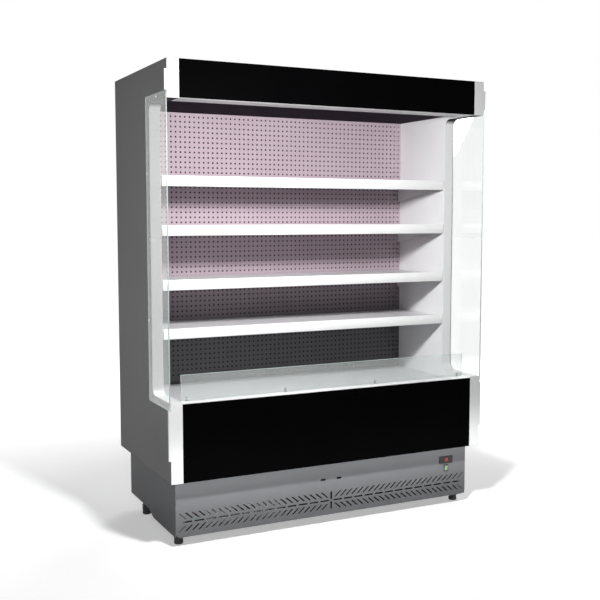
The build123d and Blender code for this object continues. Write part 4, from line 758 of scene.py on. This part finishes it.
def grid_line(number, cells, stops):
    """The place of a grid's line: on an edge, or shared out from the first to the last cell."""
    edge, first, last, far_edge = stops
    if number == 0:
        return edge
    if number == cells + 2:
        return far_edge
    return first + (number - 1) * ((last - first) / cells)


def pierced_sheet(bm, xs, ys, columns, rows, hole, matrix):
    """Adds a flat sheet with a grid of square holes and a plain rim, and moves it by matrix.

    xs and ys are (edge, first cell, last cell, edge)."""
    made = bmesh.ops.create_grid(bm, x_segments=columns + 2, y_segments=rows + 2, size=0.5)
    for v in made["verts"]:
        v.co.x = grid_line(round((v.co.x + 0.5) * (columns + 2)), columns, xs)
        v.co.y = grid_line(round((v.co.y + 0.5) * (rows + 2)), rows, ys)
    centres = {f: f.calc_center_median() for v in made["verts"] for f in v.link_faces}
    cells = [f for f, c in centres.items() if xs[1] < c.x < xs[2] and ys[1] < c.y < ys[2]]
    narrowest = min((xs[2] - xs[1]) / columns, (ys[2] - ys[1]) / rows)
    bmesh.ops.inset_individual(bm, faces=cells, thickness=narrowest / 4, use_even_offset=True)
    for face in cells:
        centre = face.calc_center_median()
        for v in face.verts:
            v.co.x = centre.x + math.copysign(hole / 2, v.co.x - centre.x)
            v.co.y = centre.y + math.copysign(hole / 2, v.co.y - centre.y)
    bmesh.ops.delete(bm, geom=cells, context="FACES")
    bmesh.ops.transform(bm, matrix=matrix, verts=bm.verts)


def rim_edges(bm, test):
    """Open edges whose both ends pass a test."""
    return [e for e in bm.edges if len(e.link_faces) == 1 and all(test(v.co) for v in e.verts)]


def fold_out(bm, edges, offset):
    """Adds a flange folded from open edges."""
    made = bmesh.ops.extrude_edge_only(bm, edges=edges)
    verts = [g for g in made["geom"] if isinstance(g, bmesh.types.BMVert)]
    bmesh.ops.translate(bm, verts=verts, vec=offset)


class FRIDGE_OT_finishes(Operator):
    """Give every CAD node its painted, plastic, glass or metal finish"""

    bl_idname = "fridge.finishes"
    bl_label = "Finishes"

    def execute(self, context):
        for node, obj in NODES.items():
            slot = slot_of(node)
            own = slot in OWN_SLOTS or node in OWN_NODES
            for place in obj.material_slots:
                place.link = "OBJECT"
                place.material = finish_for(slot, node if own else "")
        return {"FINISHED"}


SOFT_EDGES = {      # radius in millimetres, and segments
    "side_wall_left": (1.2, 2), "side_wall_right": (1.2, 2), "roof_panel": (1.2, 2),
    "canopy_front_panel": (0.7, 2), "lower_front_panel": (0.7, 2),
    "canopy_trim_left": (0.7, 2), "canopy_trim_right": (0.7, 2),
    "lower_trim_left": (0.7, 2), "lower_trim_right": (0.7, 2),
    "canopy_lip": (0.6, 2), "glass_fixings": (0.5, 2),
    "shelf_1": (0.5, 2), "shelf_2": (0.5, 2), "shelf_3": (0.5, 2), "shelf_4": (0.5, 2),
    "deck_tray": (0.6, 2), "plinth_side_left": (0.6, 2), "plinth_side_right": (0.6, 2),
    "plinth_grille": (0.45, 1), "rear_grille": (0.4, 1), "return_air_grille": (0.4, 1),
    "controller_case": (0.8, 3), "switch_bezel": (0.6, 2), "switch_rocker": (0.6, 2),
    "key_left": (0.5, 2), "key_right": (0.5, 2), "cord_gland": (0.6, 2),
}
MILLIMETRE = 0.001


class FRIDGE_OT_soft_edges(Operator):
    """Round the folded edges of the sheets and mouldings"""

    bl_idname = "fridge.soft_edges"
    bl_label = "Folded edges"

    def execute(self, context):
        for node, (radius, segments) in SOFT_EDGES.items():
            bm = merged_copy(node)
            rounded(bm, radius * MILLIMETRE, segments)
            bmesh.ops.recalc_face_normals(bm, faces=bm.faces)
            material = NODES[node].material_slots[0].material
            add_piece(f"{node}_soft", bm, node, slot_of(node), [material], [node], even=True)
        return {"FINISHED"}


FOOT_LAP = 0.0002       # how far the rear panel's forward foot reaches into its face


class FRIDGE_OT_rear_panel(Operator):
    """Punch the square holes of the rear panel and its two uprights"""

    bl_idname = "fridge.rear_panel"
    bl_label = "Perforated rear panel"

    def sheet(self, low, high, cells, columns, closed):
        """A punched sheet with its sides folded back, and its ends too where it is closed.

        cells are the ends of its stretch of holes."""
        sizes = bpy.context.scene.fridge_sizes
        rows = int((high.z - sizes.hole_start) / sizes.hole_pitch)
        top = sizes.hole_start + rows * sizes.hole_pitch
        stand = Matrix.Translation((0, low.y, 0)) @ Matrix.Rotation(math.radians(90), 4, "X")
        bm = bmesh.new()
        pierced_sheet(bm, (low.x, *cells, high.x), (low.z, sizes.hole_start, top, high.z),
                      columns, rows, sizes.hole_side, stand)
        rim = rim_edges(bm, lambda p: min(p.x - low.x, high.x - p.x) < TINY
                        or (closed and min(p.z - low.z, high.z - p.z) < TINY))
        fold_out(bm, rim, (0, high.y - low.y - sizes.sheet, 0))
        bmesh.ops.solidify(bm, geom=bm.faces[:], thickness=sizes.sheet)
        return bm

    def upright(self, side, middle):
        """The upright on one side, -1 or 1, with its holes as far as middle from the centre."""
        sizes = bpy.context.scene.fridge_sizes
        low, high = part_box("slotted_uprights")
        reach = sizes.upright_cell / 2
        cells = sorted((side * (middle - reach), side * (middle + reach)))
        left, right = sorted((side * (high.x - sizes.upright_width), side * high.x))
        return self.sheet(Vector((left, low.y, low.z)), Vector((right, high.y, high.z)),
                          cells, columns=1, closed=False)

    def execute(self, context):
        sizes = context.scene.fridge_sizes
        paint = finish_for("pinkish_grey_paint")
        low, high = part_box("back_panel")
        columns = 2 * int(high.x / sizes.hole_column)
        half = columns * sizes.hole_column / 2
        face = Vector((low.x, high.y - sizes.panel_depth, low.z))
        bm = self.sheet(face, high, (-half, half), columns, closed=True)
        block(bm, low, (high.x, face.y + FOOT_LAP, low.z + sizes.sheet))
        add_piece("rear_panel_punched", bm, "back_panel", "pinkish_grey_paint", [paint], ["back_panel"])

        middle = half + sizes.hole_column / 2 + sizes.upright_shift
        both = joined([self.upright(side, middle) for side in (-1, 1)])
        add_piece("uprights_punched", both, "slotted_uprights", "pinkish_grey_paint", [paint],
                  ["slotted_uprights"])
        return {"FINISHED"}


class FRIDGE_OT_front_rail(Operator):
    """Fold the front rail with its row of fine holes"""

    bl_idname = "fridge.front_rail"
    bl_label = "Front rail"

    def execute(self, context):
        sizes = context.scene.fridge_sizes
        low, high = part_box("front_rail")
        web = high.y - sizes.rail_flange
        columns = int((high.x - low.x - sizes.rail_ends) / sizes.rail_pitch)
        half = columns * sizes.rail_pitch / 2
        first = low.y + sizes.rail_setback
        bm = bmesh.new()
        pierced_sheet(bm, (low.x, -half, half, high.x), (low.y, first, first + sizes.rail_cell, web),
                      columns, 1, sizes.rail_hole, Matrix.Translation((0, 0, high.z)))
        rear = rim_edges(bm, lambda p: p.y > web - TINY)
        fold_out(bm, rear, (0, 0, low.z - high.z + sizes.sheet))
        foot = rim_edges(bm, lambda p: p.z < low.z + sizes.sheet + TINY)
        if not rear or not foot:
            raise ValueError("the front rail has no rear edge to fold")
        fold_out(bm, foot, (0, high.y - web, 0))
        bmesh.ops.recalc_face_normals(bm, faces=bm.faces)
        bmesh.ops.solidify(bm, geom=bm.faces[:], thickness=sizes.sheet)
        add_piece("front_rail_punched", bm, "front_rail", "white_paint",
                  [finish_for("white_paint", "front_rail")], ["front_rail"])
        return {"FINISHED"}


CLEAR, GROUND, BRIGHT, BANDED = range(4)    # the materials of a glass piece, in order
EDGE_ON = 0.9       # a face that looks through the glass by less than this is one of its edges
AWAY = 0.35         # an edge that looks back or down by more than this glows brighter, as painted light


class FRIDGE_OT_glass(Operator):
    """Grind the edges of the side panes and the riser glass"""

    bl_idname = "fridge.glass"
    bl_label = "Glass"

    def material_of(self, face, is_side, band_from):
        """The material of a face: a side pane also has edges that glow brighter as painted light, and a
        band at its rear.
        """
        if abs(face.normal[0 if is_side else 1]) < EDGE_ON:
            away = face.normal.y > AWAY or face.normal.z < -AWAY
            return BRIGHT if is_side and away else GROUND
        return BANDED if is_side and face.calc_center_median().y > band_from else CLEAR

    def execute(self, context):
        shades, sizes = context.scene.fridge_colours, context.scene.fridge_sizes
        clear = finish_for("clear_glass")
        hazy = glass("hazy_glass", shades.haze, clearness=0.86)
        # The ground edges and the milky band glow a little: painted light.
        ground = glass("ground_glass", shades.glass_edge, roughness=0.35, clearness=0.6, glow=0.12)
        bright = glass("bright_ground_glass", shades.glass_edge, roughness=0.35, clearness=0.4, glow=0.8)
        banded = glass("bonded_band", shades.band, roughness=0.25, clearness=0.35, glow=0.10)
        for node in ("side_pane_left", "side_pane_right", "riser_glass"):
            is_side = node != "riser_glass"
            bm = merged_copy(node)
            low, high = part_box(node)
            band_from = high.y - sizes.band
            if is_side:
                inner = min((low.x, high.x), key=abs)
                for v in bm.verts:
                    if abs(v.co.x - inner) < TINY:
                        v.co.x += math.copysign(sizes.pane_gap, inner)
            rounded(bm, sizes.arris, 1)
            if is_side:
                bmesh.ops.bisect_plane(bm, geom=bm.verts[:] + bm.edges[:] + bm.faces[:],
                                       plane_co=(0.0, band_from, 0.0), plane_no=(0.0, 1.0, 0.0))
            for face in bm.faces:
                face.material_index = self.material_of(face, is_side, band_from)
            add_piece(f"{node}_ground", bm, node, "clear_glass",
                      [clear if is_side else hazy, ground, bright, banded], [node], even=True)
        return {"FINISHED"}


FIGURES = "20"
SEGMENTS = {"0": "abcdef", "2": "abged"}            # the lit segments of each figure
PLACES = {"a": (0, 1, 0), "b": (0.5, 0.5, 90), "c": (0.5, -0.5, 90), "d": (0, -1, 0),
          "e": (-0.5, -0.5, 90), "f": (-0.5, 0.5, 90), "g": (0, 0, 0)}      # across, up, turn
FIGURE_PITCH, FIGURE_WIDE, FIGURE_HIGH = 0.86, 0.5, 0.46    # shares of a figure's height
SEGMENT_LONG, SEGMENT_WIDE = 0.40, 0.13                     # the same
SEGMENT_POINT = 0.42                                        # share of a segment's width
SEGMENT_THICK, SEGMENT_STAND = 0.0002, 0.00012              # metres; its middle, off the window


class FRIDGE_OT_figures(Operator):
    """Light the figures of the temperature display"""

    bl_idname = "fridge.figures"
    bl_label = "Display figures"

    def execute(self, context):
        shades, tall = context.scene.fridge_colours, context.scene.fridge_sizes.digit_height
        low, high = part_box("controller_window")
        middle = (low + high) / 2
        wide = tall * SEGMENT_WIDE
        bar = Matrix.Diagonal((tall * SEGMENT_LONG, SEGMENT_THICK, wide, 1.0))
        bm = bmesh.new()
        for number, figure in enumerate(FIGURES):
            centre = middle.x + (number - 0.5) * tall * FIGURE_PITCH
            for segment in SEGMENTS[figure]:
                across, up, turn = PLACES[segment]
                spot = (centre + across * tall * FIGURE_WIDE, low.y - SEGMENT_STAND,
                        middle.z + up * tall * FIGURE_HIGH)
                turned = Matrix.Translation(spot) @ Matrix.Rotation(math.radians(turn), 4, "Y")
                bmesh.ops.create_cube(bm, size=1.0, matrix=turned @ bar)
        ends = [e for e in bm.edges if abs((e.verts[0].co - e.verts[1].co).normalized().y) > 0.9]
        bmesh.ops.bevel(bm, geom=ends, offset=wide * SEGMENT_POINT, segments=2, profile=0.5,
                        affect="EDGES", material=-1)
        glow = lit("lit figures", shades.digits, 0.55, Roughness=0.3)
        add_piece("display_figures", bm, "controller_window", "display_window", [glow])
        return {"FINISHED"}


# A levelling foot, in metres above its sole.
SOLE_CHAMFER, PAD_TOP = 0.0025, 0.014
GROOVE_LOW, GROOVE_HIGH, GROOVE_DEPTH = 0.016, 0.019, 0.0022
GRIP_LOW, GRIP_TOP, GRIP_SHOULDER = 0.021, 0.052, 0.006
FLUTE_DEPTH, CORNERS, CORNERS_PER_FLUTE = 0.0016, 48, 4
CREST, ROOT = 0.005, 0.0043                     # radii of the thread
THREAD_STEP, THREAD_SINK, THREAD_CORNERS = 0.0015, 0.001, 20


class FRIDGE_OT_feet(Operator):
    """Turn the levelling feet with their grips and threads"""

    bl_idname = "fridge.feet"
    bl_label = "Levelling feet"

    def grip(self, bm, radius):
        """Adds the pad and the fluted grip, ring by ring upwards."""
        rings = ((SOLE_CHAMFER, radius, False), (PAD_TOP, radius, False),
                 (GROOVE_LOW, radius - GROOVE_DEPTH, False), (GROOVE_HIGH, radius - GROOVE_DEPTH, False),
                 (GRIP_LOW, radius, True), (GRIP_TOP - GRIP_SHOULDER, radius, True),
                 (GRIP_TOP - GRIP_SHOULDER / 4, radius - GRIP_SHOULDER / 2, True),
                 (GRIP_TOP, radius - GRIP_SHOULDER, False))
        bmesh.ops.create_circle(bm, cap_ends=True, segments=CORNERS, radius=radius - SOLE_CHAMFER)
        face = bm.faces[:]
        for height, reach, fluted in rings:
            face = bmesh.ops.extrude_discrete_faces(bm, faces=face)["faces"]
            for v in face[0].verts:
                turn = math.atan2(v.co.y, v.co.x)
                corner = round(turn * CORNERS / math.tau)
                dent = FLUTE_DEPTH if fluted and corner % CORNERS_PER_FLUTE == 0 else 0.0
                v.co = (math.cos(turn) * (reach - dent), math.sin(turn) * (reach - dent), height)

    def thread(self, bm, top):
        """Adds the threaded stud from inside the grip up to top."""
        profile = [bm.verts.new((CREST if i % 2 else ROOT, 0, GRIP_TOP - THREAD_SINK + i * THREAD_STEP))
                   for i in range(int((top - GRIP_TOP) / THREAD_STEP))]
        spine = [bm.edges.new(pair) for pair in zip(profile, profile[1:])]
        bmesh.ops.spin(bm, geom=profile + spine, cent=(0, 0, 0), axis=(0, 0, 1), dvec=(0, 0, 0),
                       angle=math.tau, steps=THREAD_CORNERS, use_merge=True)
        bmesh.ops.holes_fill(bm, edges=[e for e in bm.edges if len(e.link_faces) == 1],
                             sides=THREAD_CORNERS + 4)

    def execute(self, context):
        materials = [finish_for("black_rubber"), finish_for("zinc_steel")]
        for node in [n for n in NODES if n.startswith("foot_")]:
            low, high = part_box(node)
            bm = bmesh.new()
            self.grip(bm, (high.x - low.x) / 2)
            rubber = set(bm.faces)
            self.thread(bm, high.z)
            bmesh.ops.remove_doubles(bm, verts=bm.verts, dist=MERGE)
            for face in bm.faces:
                face.material_index = 0 if face in rubber else 1
            bmesh.ops.recalc_face_normals(bm, faces=bm.faces)
            bmesh.ops.translate(bm, verts=bm.verts, vec=((low.x + high.x) / 2, (low.y + high.y) / 2, low.z))
            add_piece(f"{node}_turned", bm, node, "black_rubber", materials, [node])
        return {"FINISHED"}


# --- Studio
FLOOR_RADIUS, FLOOR_CORNERS = 60.0, 96
FLOOR_DROP = 0.0005                     # how far the floor is below the feet
SHADE_NEAR, SHADE_FAR = 1.2, 3.2        # distances between which the floor turns white
SHADE_GLOW = 0.42                       # glow of the floor by the fridge, 1 being white


def sees_backdrop(net):
    """1 for rays of the camera, off a mirror or through glass, which all see the white backdrop."""
    path = net.add("ShaderNodeLightPath").outputs
    indirect = net.math("MAXIMUM", path["Is Glossy Ray"], path["Is Transmission Ray"])
    return net.math("MAXIMUM", path["Is Camera Ray"], indirect)


class FRIDGE_OT_studio(Operator):
    """Set the floor, the lamps, the room and the camera"""

    bl_idname = "fridge.studio"
    bl_label = "Studio"

    def lamp(self, name, place, target, size, level, falloff="", height=0.0, spread=180.0):
        """Adds a soft lamp aimed at a point: round, or a strip where it has a height."""
        data = bpy.data.lights.new(name, "AREA")
        data.shape, data.size = "RECTANGLE" if height else "DISK", size
        if height:
            data.size_y = height
        data.spread = math.radians(spread)
        data.energy = level
        if falloff:
            net = empty_net(data)
            strength = net.add("ShaderNodeLightFalloff", {"Strength": 1.0}).outputs[falloff]
            glow = net.add("ShaderNodeEmission", {"Strength": strength})
            net.add("ShaderNodeOutputLight", {"Surface": glow.outputs[0]})
        lamp = add_object(name, data)
        lamp.location = place
        lamp.rotation_euler = (Vector(target) - Vector(place)).to_track_quat("-Z", "Y").to_euler()

    def lamps(self, level):
        """Adds the key lamp and the three fills."""
        self.lamp("key_lamp", place=(-0.45, -1.32, 1.78), target=(0.0, 0.0, 1.1), size=0.2,
                  level=21.0 * level, falloff="Linear")
        self.lamp("low_fill", place=(0.0, -1.7, 0.30), target=(0.0, -0.3, 0.30), size=1.8,
                  level=1.1 * level, height=0.15, spread=20.0)
        self.lamp("side_fill", place=(-1.3, -1.5, 1.4), target=(-0.85, 0.0, 1.3), size=0.4,
                  level=1.5 * level, falloff="Linear", height=1.8, spread=80.0)
        self.lamp("rear_fill", place=(2.2, 3.6, 2.6), target=(0.0, 0.0, 1.0), size=2.5,
                  level=110.0 * level)

    def room(self, level):
        """A white backdrop for the rays that see it, and a faint light from all round."""
        world = bpy.data.worlds.new("studio")
        net = empty_net(world)
        room = net.add("ShaderNodeBackground", {"Color": WHITE, "Strength": level})
        backdrop = net.add("ShaderNodeBackground", {"Color": WHITE, "Strength": 1.0})
        both = net.add("ShaderNodeMixShader", {0: sees_backdrop(net), 1: room.outputs[0],
                                               2: backdrop.outputs[0]})
        net.add("ShaderNodeOutputWorld", {"Surface": both.outputs[0]})
        return world

    def floor_material(self, studio):
        """A floor that glows to white away from the fridge, and throws little light back."""
        material, net, shader = new_material("studio floor")
        seen = sees_backdrop(net)
        away = net.add("ShaderNodeVectorMath", {0: net.spot()}, operation="LENGTH").outputs["Value"]
        glow = net.math("MULTIPLY", seen, net.remap(away, SHADE_NEAR, SHADE_FAR, SHADE_GLOW, 1.0))
        net.feed(shader, {"Base Color": net.blend(seen, rgba(studio.floor_bounce), rgba(studio.floor)),
                          "Emission Color": net.grey(glow), "Emission Strength": 1.0,
                          "Roughness": 0.9, "Specular IOR Level": 0.0})
        return material

    def floor(self, material):
        """Adds the floor, which isn't part of the fridge."""
        bm = bmesh.new()
        bmesh.ops.create_circle(bm, cap_ends=True, segments=FLOOR_CORNERS, radius=FLOOR_RADIUS)
        mesh = mesh_of("studio_floor", bm)
        mesh.materials.append(material)
        floor = add_object("studio_floor", mesh)
        floor.location.z = -FLOOR_DROP

    def camera(self, studio):
        """The camera where the photo was taken."""
        camera = add_object("photo_camera", bpy.data.cameras.new("photo_camera"))
        camera.data.sensor_width = 36.0
        camera.data.lens = studio.lens
        camera.data.clip_end = 200.0
        camera.location = studio.eye
        camera.rotation_euler = (math.radians(90) - studio.pitch, 0, -studio.yaw)
        return camera

    def execute(self, context):
        scene, studio = context.scene, context.scene.fridge_studio
        self.lamps(studio.key)
        scene.world = self.room(studio.room)
        self.floor(self.floor_material(studio))
        scene.camera = self.camera(studio)
        scene.view_settings.view_transform = "Standard"
        return {"FINISHED"}


# --- The add-on
STEPS = (FRIDGE_OT_finishes, FRIDGE_OT_soft_edges, FRIDGE_OT_rear_panel, FRIDGE_OT_front_rail,
         FRIDGE_OT_glass, FRIDGE_OT_figures, FRIDGE_OT_feet, FRIDGE_OT_studio)
SETTINGS = {"fridge_sizes": FridgeSizes, "fridge_colours": FridgeColours, "fridge_studio": FridgeStudio}


class FRIDGE_PT_panel(Panel):
    """Lists the steps that dress the fridge, and their settings"""

    bl_label = "Display Fridge"
    bl_idname = "FRIDGE_PT_panel"
    bl_space_type = "VIEW_3D"
    bl_region_type = "UI"
    bl_category = "Fridge"

    def draw(self, context):
        for step in STEPS:
            self.layout.operator(step.bl_idname)
        for group in SETTINGS:
            settings, box = getattr(context.scene, group), self.layout.box()
            for key in settings.__annotations__:
                box.prop(settings, key, text=key.replace("_", " ").capitalize())


CLASSES = (*SETTINGS.values(), *STEPS, FRIDGE_PT_panel)


def register():
    """Registers the classes and their settings."""
    for cls in CLASSES:
        bpy.utils.register_class(cls)
    for group, cls in SETTINGS.items():
        setattr(bpy.types.Scene, group, PointerProperty(type=cls))


def unregister():
    """Takes the classes and their settings away."""
    for group in SETTINGS:
        delattr(bpy.types.Scene, group)
    for cls in reversed(CLASSES):
        bpy.utils.unregister_class(cls)


def main():
    """Builds everything in order."""
    register()
    for step in STEPS:
        area, name = step.bl_idname.split(".")
        getattr(getattr(bpy.ops, area), name)()


if __name__ == "__main__":
    main()
